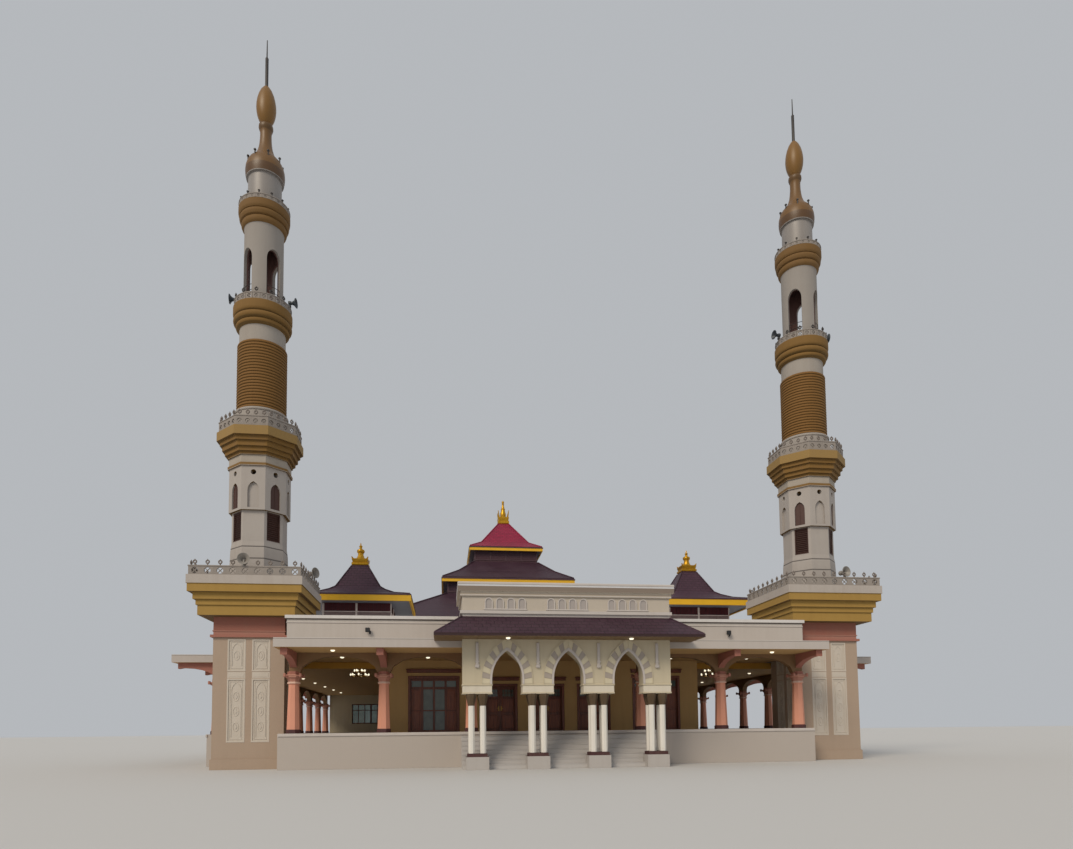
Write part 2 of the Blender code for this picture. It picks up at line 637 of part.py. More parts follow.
def rear_wall():
    end = SIDE_COLUMN_X - CAPITAL_HALF - 0.05
    inner = HALL_HALF - HALL_WALL - GAP
    outline = [(-end, FLOOR_Z + GAP), (end, FLOOR_Z + GAP), (end, SOFFIT_Z - GAP), (inner, SOFFIT_Z - GAP), (inner, ROOF_Z),
               (-inner, ROOF_Z), (-inner, SOFFIT_Z - GAP), (-end, SOFFIT_Z - GAP)]
    wall = plate("rear_wall", outline, HALL_WALL, "cream", (0, HALL_REAR_Y - HALL_WALL / 2, 0), upright=True)
    middle = (HALL_HALF + SIDE_COLUMN_X) / 2
    sill = FLOOR_Z + WINDOW_SILL
    holes = [((side * middle - END_WINDOW_WIDTH / 2, HALL_REAR_Y - HALL_WALL - REACH, sill),
              (side * middle + END_WINDOW_WIDTH / 2, HALL_REAR_Y + REACH, sill + WINDOW_HEIGHT)) for side in (-1, 1)]
    cut(wall, boxes("rear_wall_windows", holes))


def glazed_screens():
    """Fixed timber screens with panes, one in each half of the front wall."""
    for side, word in ((-1, "left"), (1, "right")):
        x = side * SCREEN_CENTRE_X
        low_x, high_x = x - SCREEN_WIDTH / 2 + GAP, x + SCREEN_WIDTH / 2 - GAP
        low_z, high_z = FLOOR_Z + GAP, FLOOR_Z + SCREEN_HEIGHT - GAP
        middle_y = HALL_FRONT_Y + HALL_WALL / 2
        front, back = middle_y - SCREEN_DEPTH / 2, middle_y + SCREEN_DEPTH / 2
        screen = block(f"front_{word}_screen", (low_x, front, low_z), (high_x, back, high_z), "wood")
        transom = high_z - TRANSOM_HEIGHT
        width = (high_x - low_x - SCREEN_FRAME) / 4
        recesses = []
        for column in range(4):
            start = low_x + SCREEN_FRAME + width * column
            end = start + width - SCREEN_FRAME
            for bottom, top in ((low_z + SCREEN_FRAME, transom - SCREEN_FRAME / 2), (transom + SCREEN_FRAME / 2, high_z - SCREEN_FRAME)):
                recesses.append(((start, front - REACH, bottom), (end, middle_y - PANE_THICKNESS / 2, top)))
                recesses.append(((start, middle_y + PANE_THICKNESS / 2, bottom), (end, back + REACH, top)))
        cut(screen, boxes(f"front_{word}_panes", recesses))


def door_leaves():
    """Six timber leaves, hung in pairs on barrel hinges at the inner face of the wall."""
    inner_y = HALL_FRONT_Y + HALL_WALL
    low_z, high_z = FLOOR_Z + 2 * LEAF_CLEARANCE, FLOOR_Z + DOOR_HEIGHT - 2 * LEAF_CLEARANCE
    for word, x in (("left", -DOOR_SPACING), ("middle", 0), ("right", DOOR_SPACING)):
        for side, hand in ((-1, "left"), (1, "right")):
            jamb = x + side * DOOR_WIDTH / 2
            ends = sorted((jamb - side * LEAF_CLEARANCE, x + side * LEAF_MEETING / 2))
            name = f"{word}_door_{hand}_leaf"
            back = inner_y + LEAF_PROUD
            leaf = block(name, (ends[0], back - LEAF_THICKNESS, low_z), (ends[1], back, high_z), "wood")
            axis_y = inner_y + HINGE_RADIUS + GAP
            for number, z in enumerate((low_z + HINGE_INSET, high_z - HINGE_INSET - HINGE_LENGTH), start=1):
                barrel = turned(f"{name}_barrel_{number}", [(0, z + HINGE_LENGTH), (HINGE_RADIUS, z + HINGE_LENGTH), (HINGE_RADIUS, z), (0, z)],
                                12, None, (jamb, axis_y))
                strap_ends = sorted((jamb, jamb - side * STRAP_LENGTH))
                strap = block(f"{name}_strap_{number}", (strap_ends[0], back - LEAF_PROUD / 2, z + 0.01),
                              (strap_ends[1], axis_y, z + HINGE_LENGTH - 0.01))
                fuse(leaf, barrel, strap)


# Flat roofs and their parapets

def flat_roofs():
    inner = HALL_HALF - HALL_WALL
    tower_back = TOWER_FRONT_Y + HALL_WALL
    thickness = ROOF_Z - SOFFIT_Z
    middle_z = (ROOF_Z + SOFFIT_Z) / 2
    outline = [(-WING_HALF, FRONT_FASCIA_Y), (WING_HALF, FRONT_FASCIA_Y), (WING_HALF, SIDE_FASCIA_Y - GAP),
               (inner - GAP, SIDE_FASCIA_Y - GAP), (inner - GAP, tower_back), (-inner + GAP, tower_back),
               (-inner + GAP, SIDE_FASCIA_Y - GAP), (-WING_HALF, SIDE_FASCIA_Y - GAP)]
    roof = plate("front_roof", outline, thickness, "white", (0, 0, middle_z))
    notch = block("porch_wall_notch", (-PORCH_HALF - GAP, PORCH_FACE_Y - REACH, SOFFIT_Z - REACH),
                  (PORCH_HALF + GAP, PORCH_FACE_Y + PORCH_WALL + GAP, ROOF_Z + REACH))
    cut(roof, notch)
    for side, word in ((-1, "left"), (1, "right")):
        ends = sorted((side * inner, side * SIDE_HALF))
        block(f"{word}_side_roof", (ends[0], SIDE_FASCIA_Y, SOFFIT_Z), (ends[1], REAR_FASCIA_Y, ROOF_Z), "white")


def parapet_path(side, grow):
    """Outline of the parapet's plan, made wider by grow on both faces."""
    wall = PARAPET_WALL + grow
    start, end = PORCH_HALF + 0.10, HALL_HALF + GAP
    side_y = SIDE_FASCIA_Y + 0.10
    outer = [(start, PARAPET_FRONT_Y - grow), (PARAPET_WING_X + grow, PARAPET_FRONT_Y - grow),
             (PARAPET_WING_X + grow, side_y - grow), (PARAPET_SIDE_X + grow, side_y - grow),
             (PARAPET_SIDE_X + grow, PARAPET_REAR_Y + grow), (end, PARAPET_REAR_Y + grow)]
    inner = [(end, PARAPET_REAR_Y - wall), (PARAPET_SIDE_X - wall, PARAPET_REAR_Y - wall),
             (PARAPET_SIDE_X - wall, side_y + wall), (PARAPET_WING_X - wall, side_y + wall),
             (PARAPET_WING_X - wall, PARAPET_FRONT_Y + wall), (start, PARAPET_FRONT_Y + wall)]
    return [(side * x, y) for x, y in outer + inner]


def roof_parapets():
    low = ROOF_Z + GAP
    for side, word in ((-1, "left"), (1, "right")):
        wall = plate(f"{word}_roof_parapet", parapet_path(side, 0), PARAPET_TOP_Z - low - 0.02, "white",
                     (0, 0, (PARAPET_TOP_Z + low - 0.02) / 2))
        cap = plate(f"{word}_parapet_cap", parapet_path(side, CAP_REACH), CAP_HEIGHT, None,
                    (0, 0, PARAPET_TOP_Z - CAP_HEIGHT / 2))
        fuse(wall, cap)


# Tiered roofs of the hall and the pavilions

def under(profile, drop):
    """The same slope, lower by drop, from the eave back to the top."""
    return [(half, z - drop) for half, z in reversed(profile)]


def hall_roofs():
    centre = (0, HALL_ROOF_Y)
    wall = block("clerestory_wall", (-HALL_HALF, TOWER_FRONT_Y, ROOF_Z + GAP), (HALL_HALF, HALL_REAR_Y, TOWER_TOP_Z - GAP), "cream")
    inner = HALL_HALF - HALL_WALL
    cut(wall, block("clerestory_room", (-inner, TOWER_FRONT_Y + HALL_WALL, ROOF_Z - REACH),
                    (inner, HALL_REAR_Y - HALL_WALL, TOWER_TOP_Z + REACH)))
    eave = LOWER_TIER[-1][0]
    neck = LOWER_TIER[0][0] - NECK_WALL - 0.15
    seat = HALL_HALF + 0.05
    seat_in = inner - 0.05
    lower = LOWER_TIER + [(eave, LOWER_FASCIA_Z), (eave - 0.25, LOWER_FASCIA_Z), (seat, TOWER_TOP_Z), (seat_in, TOWER_TOP_Z),
                          (seat_in, TOWER_TOP_Z + 0.3), (neck, LOWER_TIER[0][1] - ROOF_THICKNESS), (neck, LOWER_TIER[0][1])]
    turned("lower_roof_tier", lower, 4, "maroon", centre)
    eave = MIDDLE_TIER[-1][0]
    foot = LOWER_TIER[0][1] + GAP
    neck = TOP_NECK_HALF - NECK_WALL
    middle = MIDDLE_TIER + [(eave, MIDDLE_FASCIA_Z), (MIDDLE_NECK_HALF, MIDDLE_FASCIA_Z), (MIDDLE_NECK_HALF, foot),
                            (MIDDLE_NECK_HALF - NECK_WALL, foot), (MIDDLE_NECK_HALF - NECK_WALL, MIDDLE_FASCIA_Z + 0.2),
                            (MIDDLE_TIER[1][0] - 0.2, MIDDLE_TIER[1][1] - ROOF_THICKNESS), (neck, MIDDLE_TIER[0][1] - ROOF_THICKNESS),
                            (neck, MIDDLE_TIER[0][1])]
    turned("middle_roof_tier", middle, 4, "maroon", centre)
    eave = TOP_TIER[-1][0]
    foot = MIDDLE_TIER[0][1] + GAP
    apex = TOP_TIER[0][1]
    top = [(0, apex)] + TOP_TIER + [(eave, TOP_FASCIA_Z), (TOP_NECK_HALF, TOP_FASCIA_Z), (TOP_NECK_HALF, foot),
                                    (neck, foot), (neck, TOP_FASCIA_Z + 0.2), (TOP_TIER[1][0] - 0.2, TOP_TIER[1][1] - ROOF_THICKNESS),
                                    (0, apex - 2 * ROOF_THICKNESS)]
    turned("top_roof_tier", top, 4, "crimson", centre)
    finial("hall_finial", centre, apex + GAP, HALL_FINIAL_TOP, 0.45)


def finial(name, centre, foot, top, half):
    """Gold finial: a square crown, then a round bell with rings that narrows to a tip."""
    height = top - foot
    crown = [(0.90, 0.00), (1.00, 0.03), (1.00, 0.10), (0.88, 0.14), (0.97, 0.24), (0.97, 0.28)]
    bell = [(0.50, 0.26), (0.50, 0.31), (0.46, 0.38), (0.32, 0.50), (0.19, 0.57), (0.19, 0.60), (0.38, 0.62),
            (0.38, 0.66), (0.18, 0.69), (0.15, 0.80), (0.20, 0.83), (0.20, 0.86), (0.09, 0.89), (0.05, 0.98)]
    base = turned(name, [(0, foot + height * 0.28)] + [(half * r, foot + height * h) for r, h in reversed(crown)] + [(0, foot)],
                  4, "gold", centre)
    fuse(base, turned(name + "_bell", [(0, top)] + [(half * r, foot + height * h) for r, h in reversed(bell)]
                      + [(0, foot + height * 0.26)], 12, None, centre))


def pavilions():
    foot = ROOF_Z + GAP
    half = PAVILION_WALL_HALF
    eave = PAVILION_ROOF[-1][0]
    apex = PAVILION_ROOF[0][1]
    for side, word in ((-1, "left"), (1, "right")):
        centre = (side * PAVILION_X, PAVILION_Y)
        walls = [(half, PAVILION_FASCIA_Z - GAP), (half, foot), (half - PAVILION_WALL, foot), (half - PAVILION_WALL, PAVILION_FASCIA_Z - GAP)]
        turned(f"{word}_pavilion_walls", walls, 4, "maroon", centre)
        slope = [(0, apex)] + PAVILION_ROOF + [(eave, PAVILION_FASCIA_Z), (half - PAVILION_WALL - 0.05, PAVILION_FASCIA_Z),
                                               (0.5, 9.0), (0, 9.6)]
        turned(f"{word}_pavilion_roof", slope, 4, "maroon", centre)
        finial(f"{word}_pavilion_finial", centre, apex + GAP, PAVILION_FINIAL_TOP, 0.44)


# Minarets

def minaret_base(word, centre):
    profile = [(BASE_HALF, BASE_TOP_Z - GAP), (BASE_HALF, LEDGE_Z + LEDGE_HEIGHT), (BASE_HALF + LEDGE_REACH, LEDGE_Z + LEDGE_HEIGHT),
               (BASE_HALF + LEDGE_REACH, LEDGE_Z), (BASE_HALF, LEDGE_Z), (BASE_HALF, 0), (BASE_HALF - BASE_WALL, 0),
               (BASE_HALF - BASE_WALL, BASE_TOP_Z - GAP)]
    base = turned(f"{word}_minaret_base", profile, 4, "cream", centre)
    near, far = BASE_HALF - PANEL_DEPTH, BASE_HALF + REACH
    holes = []
    for low, high in PANEL_ROWS:
        for offset in (-PANEL_OFFSET, PANEL_OFFSET):
            a, b = offset - PANEL_WIDTH / 2, offset + PANEL_WIDTH / 2
            holes += [((a, -far, low), (b, -near, high)), ((a, near, low), (b, far, high)),
                      ((-far, a, low), (-near, b, high)), ((near, a, low), (far, b, high))]
    panels = boxes(f"{word}_minaret_panels", holes)
    panels.location = (*centre, 0)
    cut(base, panels)


def minaret_gallery(word, centre):
    rail = GALLERY_RAIL_HALF
    profile = [(rail, GALLERY_TOP_Z), (rail, CORBEL[0][1])] + CORBEL + [
        (CORBEL[-1][0], BASE_TOP_Z), (SHAFT_BORE, BASE_TOP_Z), (SHAFT_BORE, GALLERY_FLOOR_Z),
        (rail - GALLERY_RAIL, GALLERY_FLOOR_Z), (rail - GALLERY_RAIL, GALLERY_TOP_Z)]
    turned(f"{word}_minaret_gallery", profile, 4, "ochre", centre)


def minaret_octagon(word, centre):
    foot = GALLERY_FLOOR_Z + GAP
    rail = OCTAGON[0][0] - OCTAGON_RAIL
    profile = OCTAGON + [(OCTAGON[-1][0], foot), (SHAFT_BORE, foot), (SHAFT_BORE, OCTAGON_FLOOR_Z),
                         (rail, OCTAGON_FLOOR_Z), (rail, OCTAGON[0][1])]
    tower = turned(f"{word}_minaret_octagon", profile, 8, "white", centre)
    lower_half, upper_half = OCTAGON_LOWER, OCTAGON_UPPER
    width, low, high = LOUVRE
    for i in range(4):
        angle = math.pi / 4 + math.pi / 2 * i
        mid = lower_half + REACH / 2 - NICHE_DEPTH / 2
        louvre = block(f"{word}_louvre_{i}", (-width / 2, -(lower_half + REACH), low), (width / 2, -(lower_half - NICHE_DEPTH), high))
        louvre.location = (centre[0] + mid * math.sin(angle), centre[1] - mid * math.cos(angle), (low + high) / 2)
        louvre.rotation_euler = (0, 0, angle)
        cut(tower, louvre)
    width, sill, apex = NICHE
    for i in range(8):
        angle = math.pi / 4 * i
        mid = upper_half + REACH / 2 - NICHE_DEPTH
        outline = pointed(0, width, sill, apex - 0.75 * width, apex, 3)
        niche = plate(f"{word}_niche_{i}", outline, REACH, None, (centre[0] + mid * math.sin(angle), centre[1] - mid * math.cos(angle), 0),
                      upright=True, turn=angle)
        cut(tower, niche)


def minaret_round(word, centre):
    foot = OCTAGON_FLOOR_Z + GAP
    rail = ROUND[0][0] - ROUND_RAIL
    profile = ROUND + [(ROUND[-1][0], foot), (ROUND_BORE, foot), (ROUND_BORE, ROUND_FLOOR_Z), (rail, ROUND_FLOOR_Z), (rail, ROUND[0][1])]
    turned(f"{word}_minaret_ribbed_shaft", profile, ROUND_SIDES, "ochre", centre)


def minaret_lantern(word, centre):
    foot = ROUND_FLOOR_Z + GAP
    rail = LANTERN[0][0] - ROUND_RAIL
    profile = [(0, LANTERN_FLOOR_Z), (rail, LANTERN_FLOOR_Z), (rail, LANTERN[0][1])] + LANTERN + [
        (LANTERN[-1][0], foot), (LANTERN_BORE, foot), (LANTERN_BORE, LANTERN_CEILING_Z), (0, LANTERN_CEILING_Z)]
    tower = turned(f"{word}_minaret_lantern", profile, ROUND_SIDES, "white", centre)
    width, low, apex = LANTERN_OPENING
    outline = pointed(0, width, low, apex - 0.55 * width, apex, 5)
    for i in range(2):
        way = plate(f"{word}_lantern_way_{i}", outline, 4 * LANTERN_BORE, None, (*centre, 0), upright=True, turn=math.pi / 4 + math.pi / 2 * i)
        cut(tower, way)


def minaret_spire(word, centre):
    foot = LANTERN_FLOOR_Z + GAP
    profile = [(0, SPIRE_TOP_Z)] + SPIRE + [(SPIRE[-1][0], foot), (SPIRE_BORE, foot), (SPIRE_BORE, SPIRE_CEILING_Z), (0, SPIRE_CEILING_Z)]
    turned(f"{word}_minaret_spire", profile, 16, "ochre", centre)


def minarets():
    for side, word in ((-1, "left"), (1, "right")):
        centre = (side * MINARET_X, MINARET_Y)
        minaret_base(word, centre)
        minaret_gallery(word, centre)
        minaret_octagon(word, centre)
        minaret_round(word, centre)
        minaret_lantern(word, centre)
        minaret_spire(word, centre)


floor_platform()
front_steps()
porch_piers()
porch_arch_wall()
porch_skirt_roof()
porch_parapet()
verandah_arcades()
front_walls()
side_walls()
rear_wall()
glazed_screens()
door_leaves()
flat_roofs()
roof_parapets()
hall_roofs()
pavilions()
minarets()
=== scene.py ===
import math

import bpy
from mathutils import Matrix, Vector


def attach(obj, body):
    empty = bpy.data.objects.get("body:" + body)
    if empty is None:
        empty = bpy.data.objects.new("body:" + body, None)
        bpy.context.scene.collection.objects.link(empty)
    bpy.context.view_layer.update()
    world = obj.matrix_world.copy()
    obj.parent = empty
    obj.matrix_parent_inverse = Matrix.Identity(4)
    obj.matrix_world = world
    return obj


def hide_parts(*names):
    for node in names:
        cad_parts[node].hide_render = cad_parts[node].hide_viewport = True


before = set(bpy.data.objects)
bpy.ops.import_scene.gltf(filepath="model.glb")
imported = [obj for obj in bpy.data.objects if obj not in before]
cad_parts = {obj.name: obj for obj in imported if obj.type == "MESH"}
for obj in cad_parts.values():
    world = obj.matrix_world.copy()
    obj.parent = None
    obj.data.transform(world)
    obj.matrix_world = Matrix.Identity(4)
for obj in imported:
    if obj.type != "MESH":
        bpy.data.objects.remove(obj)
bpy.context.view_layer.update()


# Camera and studio
# The picture is taken at eye height from a little left of the porch, with the lens shifted up so
# that the minarets stay nearly upright. A pale floor and soft daylight surround the building.
# Lengths are in metres, X runs along the front, Y runs inwards and Z runs up from the yard.
picture_width, picture_height = 1073, 849
focal_pixels, horizon_row = 702.7, 684.16
eye = (-4.70, -44.95, 1.46)
heading, tilt, roll = (math.radians(angle) for angle in (-7.48, 93.74, -0.62))
scene = bpy.context.scene
camera = bpy.data.objects.new("camera", bpy.data.cameras.new("camera"))
scene.collection.objects.link(camera)
camera.data.sensor_width = 36
camera.data.lens = 36 * focal_pixels / picture_width
camera.data.shift_y = (horizon_row - picture_height / 2) / picture_width
camera.data.clip_end = 900
aim = Matrix.Rotation(heading, 4, "Z") @ Matrix.Rotation(tilt, 4, "X") @ Matrix.Rotation(roll, 4, "Z")
camera.matrix_world = Matrix.Translation(eye) @ aim
scene.camera = camera


def put_away():
    """Leaves edit mode with nothing selected, because operators act on all that is."""
    if bpy.context.mode != "OBJECT":
        bpy.ops.object.mode_set(mode="OBJECT")
    bpy.ops.object.select_all(action="DESELECT")


def linear(colour):
    """An sRGB hex colour as linear values with alpha."""
    parts = [int(colour[i:i + 2], 16) / 255 for i in (1, 3, 5)]
    return tuple(c / 12.92 if c <= 0.04045 else ((c + 0.055) / 1.055) ** 2.4 for c in parts) + (1.0,)


def add(tree, kind, settings=None, links=None):
    """Adds a node to a material, with its settings and the sockets that feed it."""
    node = tree.nodes.new(kind)
    for name, value in (settings or {}).items():
        if isinstance(name, str) and hasattr(node, name):
            setattr(node, name, value)
        else:
            node.inputs[name].default_value = value
    for name, source in (links or {}).items():
        tree.links.new(source, node.inputs[name])
    return node


studio_paper = bpy.data.materials.new("studio_floor")
studio_paper.use_nodes = True
paper_shader = studio_paper.node_tree.nodes["Principled BSDF"]
paper_shader.inputs["Base Color"].default_value = linear("#C9C8C6")
paper_shader.inputs["Roughness"].default_value = 0.9
put_away()
bpy.ops.mesh.primitive_plane_add(size=1200, location=(0, 0, -0.004))
studio_floor = bpy.context.object
studio_floor.name = "studio_floor"
studio_floor.data.materials.append(studio_paper)

world = bpy.data.worlds.new("studio")
world.use_nodes = True
daylight = world.node_tree.nodes["Background"]
daylight.inputs["Color"].default_value = linear("#E9EDF2")
daylight.inputs["Strength"].default_value = 0.57
scene.world = world
scene.view_settings.view_transform = "Standard"
put_away()
bpy.ops.object.light_add(type="SUN", rotation=(math.radians(52), 0, math.radians(-38)))
sun = bpy.context.object
sun.data.energy = 1.80
sun.data.angle = math.radians(24)
sun.data.color = linear("#FFF1DC")[:3]


# Raised floor and front steps
# The floor is a masonry plinth round earth fill, rendered, painted and paved with pale grey ceramic
# tiles in mortar. Eight steps, clad in larger slabs of the same grey, lead up to the porch.
# Nosings are stuck along the treads, and a cast edge runs round the top of the plinth.
rise, tread, step_count = 0.1775, 0.28, 8
floor_level = rise * step_count
plinth_front, plinth_side, seam = -16.26, 15.20, 0.0003
porch_half = 4.03


def new_finish(name):
    """A new material, with its node tree and the node that gives places on the piece."""
    material = bpy.data.materials.new(name)
    material.use_nodes = True
    return material, material.node_tree, add(material.node_tree, "ShaderNodeTexCoord")


def fed(material, colour, rough, bump):
    """Feeds a material's shader with its colour, its roughness and its relief."""
    tree = material.node_tree
    shader = tree.nodes["Principled BSDF"]
    tree.links.new(colour, shader.inputs["Base Color"])
    tree.links.new(rough.outputs["Result"], shader.inputs["Roughness"])
    tree.links.new(bump.outputs["Normal"], shader.inputs["Normal"])
    return material


def floor_tiles(name, tile, joint, side, size):
    """Square paving on level faces, dulled where shoes wear it, and a painted plinth below."""
    material, tree, place = new_finish(name)
    brick = add(tree, "ShaderNodeTexBrick",
                {"offset": 0.0, "Scale": 1.0, "Brick Width": size, "Row Height": size,
                 "Mortar Size": 0.008, "Color1": linear(tile), "Color2": linear(tile),
                 "Mortar": linear(joint), "Bias": 0.0},
                {"Vector": place.outputs["Object"]})
    # Worn patches are about 0.6 m across.
    cloud = add(tree, "ShaderNodeTexNoise", {"Scale": 1.7, "Detail": 6.0},
                {"Vector": place.outputs["Object"]})
    tone = add(tree, "ShaderNodeValToRGB", links={"Fac": cloud.outputs["Fac"]})
    tone.color_ramp.elements[0].color = linear("#B8B2AA")
    tone.color_ramp.elements[1].color = linear("#FFFFFF")
    worn = add(tree, "ShaderNodeMix", {"data_type": "RGBA", "blend_type": "MULTIPLY", 0: 1.0},
               {6: brick.outputs["Color"], 7: tone.outputs["Color"]})
    facing = add(tree, "ShaderNodeSeparateXYZ", links={0: place.outputs["Normal"]})
    level = add(tree, "ShaderNodeMath", {"operation": "GREATER_THAN", 1: 0.5}, {0: facing.outputs["Z"]})
    shown = add(tree, "ShaderNodeMix", {"data_type": "RGBA", 6: linear(side)},
                {0: level.outputs["Value"], 7: worn.outputs[2]})
    rough = add(tree, "ShaderNodeMapRange", {"To Min": 0.35, "To Max": 0.6},
                {"Value": cloud.outputs["Fac"]})
    bump = add(tree, "ShaderNodeBump", {"Strength": 0.3, "Distance": 0.004, "invert": True},
               {"Height": brick.outputs["Fac"]})
    return fed(material, shown.outputs[2], rough, bump)


def painted_render(name, tones, under=None, core=None, room=None, grime="#8E8272", stain=0.12,
                   roughness=0.82, grain=0.5):
    """Masonry paint over trowelled render, matt, uneven by a few per cent and streaked by rain.

    Each tone holds from its height up, as the painters' bands do. The under tone is painted shade on
    soffits and undersides, the core tone is painted shade on a beam given by its axis, line, half width
    and foot, and the room tone is on what lies within a radius of either minaret's upright line.
    """
    material, tree, place = new_finish(name)
    at = add(tree, "ShaderNodeSeparateXYZ", links={0: place.outputs["Object"]})
    low, high = tones[0][0], tones[-1][0] + 1.0
    height = add(tree, "ShaderNodeMapRange", {"From Min": low, "From Max": high},
                 {"Value": at.outputs["Z"]})
    bands = add(tree, "ShaderNodeValToRGB", links={"Fac": height.outputs["Result"]})
    bands.color_ramp.interpolation = "CONSTANT"
    steps = bands.color_ramp.elements
    steps.remove(steps[1])
    steps[0].color = linear(tones[0][1])
    for z, colour in tones[1:]:
        steps.new((z - low) / (high - low)).color = linear(colour)
    masks = []
    if core:
        axis, line, half, foot, colour = core
        near = add(tree, "ShaderNodeMath", {"operation": "COMPARE", 1: line, 2: half},
                   {0: at.outputs[axis]})
        above = add(tree, "ShaderNodeMath", {"operation": "GREATER_THAN", 1: foot}, {0: at.outputs["Z"]})
        beam = add(tree, "ShaderNodeMath", {"operation": "MULTIPLY"},
                   {0: near.outputs[0], 1: above.outputs[0]})
        masks.append((beam, colour))
    if room:
        (x, y), radius, colour = room
        even = add(tree, "ShaderNodeVectorMath", {"operation": "ABSOLUTE"}, {0: place.outputs["Object"]})
        flat = add(tree, "ShaderNodeVectorMath", {"operation": "MULTIPLY", 1: (1, 1, 0)},
                   {0: even.outputs[0]})
        away = add(tree, "ShaderNodeVectorMath", {"operation": "DISTANCE", 1: (abs(x), abs(y), 0)},
                   {0: flat.outputs[0]})
        inner = add(tree, "ShaderNodeMath", {"operation": "LESS_THAN", 1: radius},
                    {0: away.outputs["Value"]})
        masks.append((inner, colour))
    if under:
        facing = add(tree, "ShaderNodeSeparateXYZ", links={0: place.outputs["Normal"]})
        down = add(tree, "ShaderNodeMath", {"operation": "LESS_THAN", 1: -0.7}, {0: facing.outputs["Z"]})
        masks.append((down, under))
    coat = bands.outputs["Color"]
    for mask, colour in masks:
        coat = add(tree, "ShaderNodeMix", {"data_type": "RGBA", 7: linear(colour)},
                   {0: mask.outputs[0], 6: coat}).outputs[2]
    # The roller leaves patches a metre across, and rain runs down in streaks 0.2 m wide and 3 m long.
    patch = add(tree, "ShaderNodeTexNoise", {"Scale": 0.9, "Detail": 5.0, "Roughness": 0.6},
                {"Vector": place.outputs["Object"]})
    stretch = add(tree, "ShaderNodeMapping", {"Scale": (5.0, 5.0, 0.35)},
                  {"Vector": place.outputs["Object"]})
    runs = add(tree, "ShaderNodeTexNoise", {"Scale": 1.0, "Detail": 4.0, "Roughness": 0.55},
               {"Vector": stretch.outputs["Vector"]})
    both = add(tree, "ShaderNodeMath", {"operation": "MULTIPLY"},
               {0: patch.outputs["Fac"], 1: runs.outputs["Fac"]})
    amount = add(tree, "ShaderNodeMapRange", {"From Min": 0.18, "From Max": 0.42, "To Max": stain},
                 {"Value": both.outputs["Value"]})
    streaked = add(tree, "ShaderNodeMix", {"data_type": "RGBA", 7: linear(grime)},
                   {0: amount.outputs["Result"], 6: coat})
    # Sand of 1 to 2 mm is too fine to show, so its relief is drawn about 35 mm coarse.
    sand = add(tree, "ShaderNodeTexNoise", {"Scale": 28.0, "Detail": 3.0},
               {"Vector": place.outputs["Object"]})
    bump = add(tree, "ShaderNodeBump", {"Strength": grain, "Distance": 0.006},
               {"Height": sand.outputs["Fac"]})
    rough = add(tree, "ShaderNodeMapRange", {"To Min": roughness - 0.08, "To Max": roughness + 0.08},
                {"Value": patch.outputs["Fac"]})
    return fed(material, streaked.outputs[2], rough, bump)


def repaint(node, material):
    """Gives a CAD node its finish in place of the plain one."""
    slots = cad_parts[node].data.materials
    slots.clear()
    slots.append(material)


def settle(piece, material, body="building", angle=35):
    """Hands a finished piece over: its place goes into its mesh, and it takes a finish and a body."""
    put_away()
    piece.select_set(True)
    bpy.context.view_layer.objects.active = piece
    bpy.ops.object.transform_apply(location=True, rotation=True, scale=True)
    if angle:
        bpy.ops.object.shade_smooth_by_angle(angle=math.radians(angle))
    piece.data.materials.clear()
    piece.data.materials.append(material)
    piece.data.name = piece.name
    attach(piece, body)


def take_up(piece):
    """Takes one piece into edit mode, with all of its mesh selected."""
    put_away()
    piece.select_set(True)
    bpy.context.view_layer.objects.active = piece
    bpy.ops.object.mode_set(mode="EDIT")
    bpy.ops.mesh.select_all(action="SELECT")


def block(name, corner, other, ease=0.012):
    """A block between two opposite corners with its edges eased, as trowelled or planed work has."""
    put_away()
    middle = [(a + b) / 2 for a, b in zip(corner, other)]
    size = [abs(b - a) for a, b in zip(corner, other)]
    bpy.ops.mesh.primitive_cube_add(size=1, location=middle, scale=size)
    piece = bpy.context.object
    piece.name = name
    bpy.ops.object.transform_apply(location=True, rotation=True, scale=True)
    take_up(piece)
    bpy.ops.mesh.bevel(offset=min(ease, 0.3 * min(size)), segments=1, affect="EDGES")
    put_away()
    return piece


def joined(name, pieces):
    """Makes one piece of several that are cast or fixed together."""
    put_away()
    for piece in pieces:
        piece.select_set(True)
    bpy.context.view_layer.objects.active = pieces[0]
    if len(pieces) > 1:
        bpy.ops.object.join()
    pieces[0].name = name
    return pieces[0]


# Glazed ceramic gives a soft sheen that is duller on the worn patches.
paving = floor_tiles("ceramic_paving", "#B9B4AE", "#7E7A76", "#B5ACA4", 0.4)
step_slabs = floor_tiles("grey_step_stone", "#BAB7B5", "#85817D", "#BAB6B3", 0.6)
repaint("floor_platform", paving)
repaint("front_steps", step_slabs)
nosings = []
for step in range(1, step_count):
    y, z = plinth_front - seam - tread * (step_count - step), rise * step
    nosings.append(block("nosing", (-porch_half, y - 0.015, z - 0.03), (porch_half, y + 0.05, z + 0.012),
                         0.008))
settle(joined("step_nosings", nosings), step_slabs)

# White masonry paint is matt and a little warm.
white = "#C3BCB7"
white_paint = painted_render("white_masonry_paint", [(0.0, white)])
edge_foot, edge_top, edge_out = 1.30, floor_level + 0.005, 0.04
plinth_edges = [block("edge", (-11.19, plinth_front - edge_out, edge_foot),
                      (11.19, plinth_front + edge_out, edge_top), 0.015)]
for x in (-plinth_side, plinth_side):
    plinth_edges.append(block("edge", (x - edge_out, -11.99, edge_foot), (x + edge_out, 17.99, edge_top),
                              0.015))
settle(joined("plinth_edge", plinth_edges), white_paint)
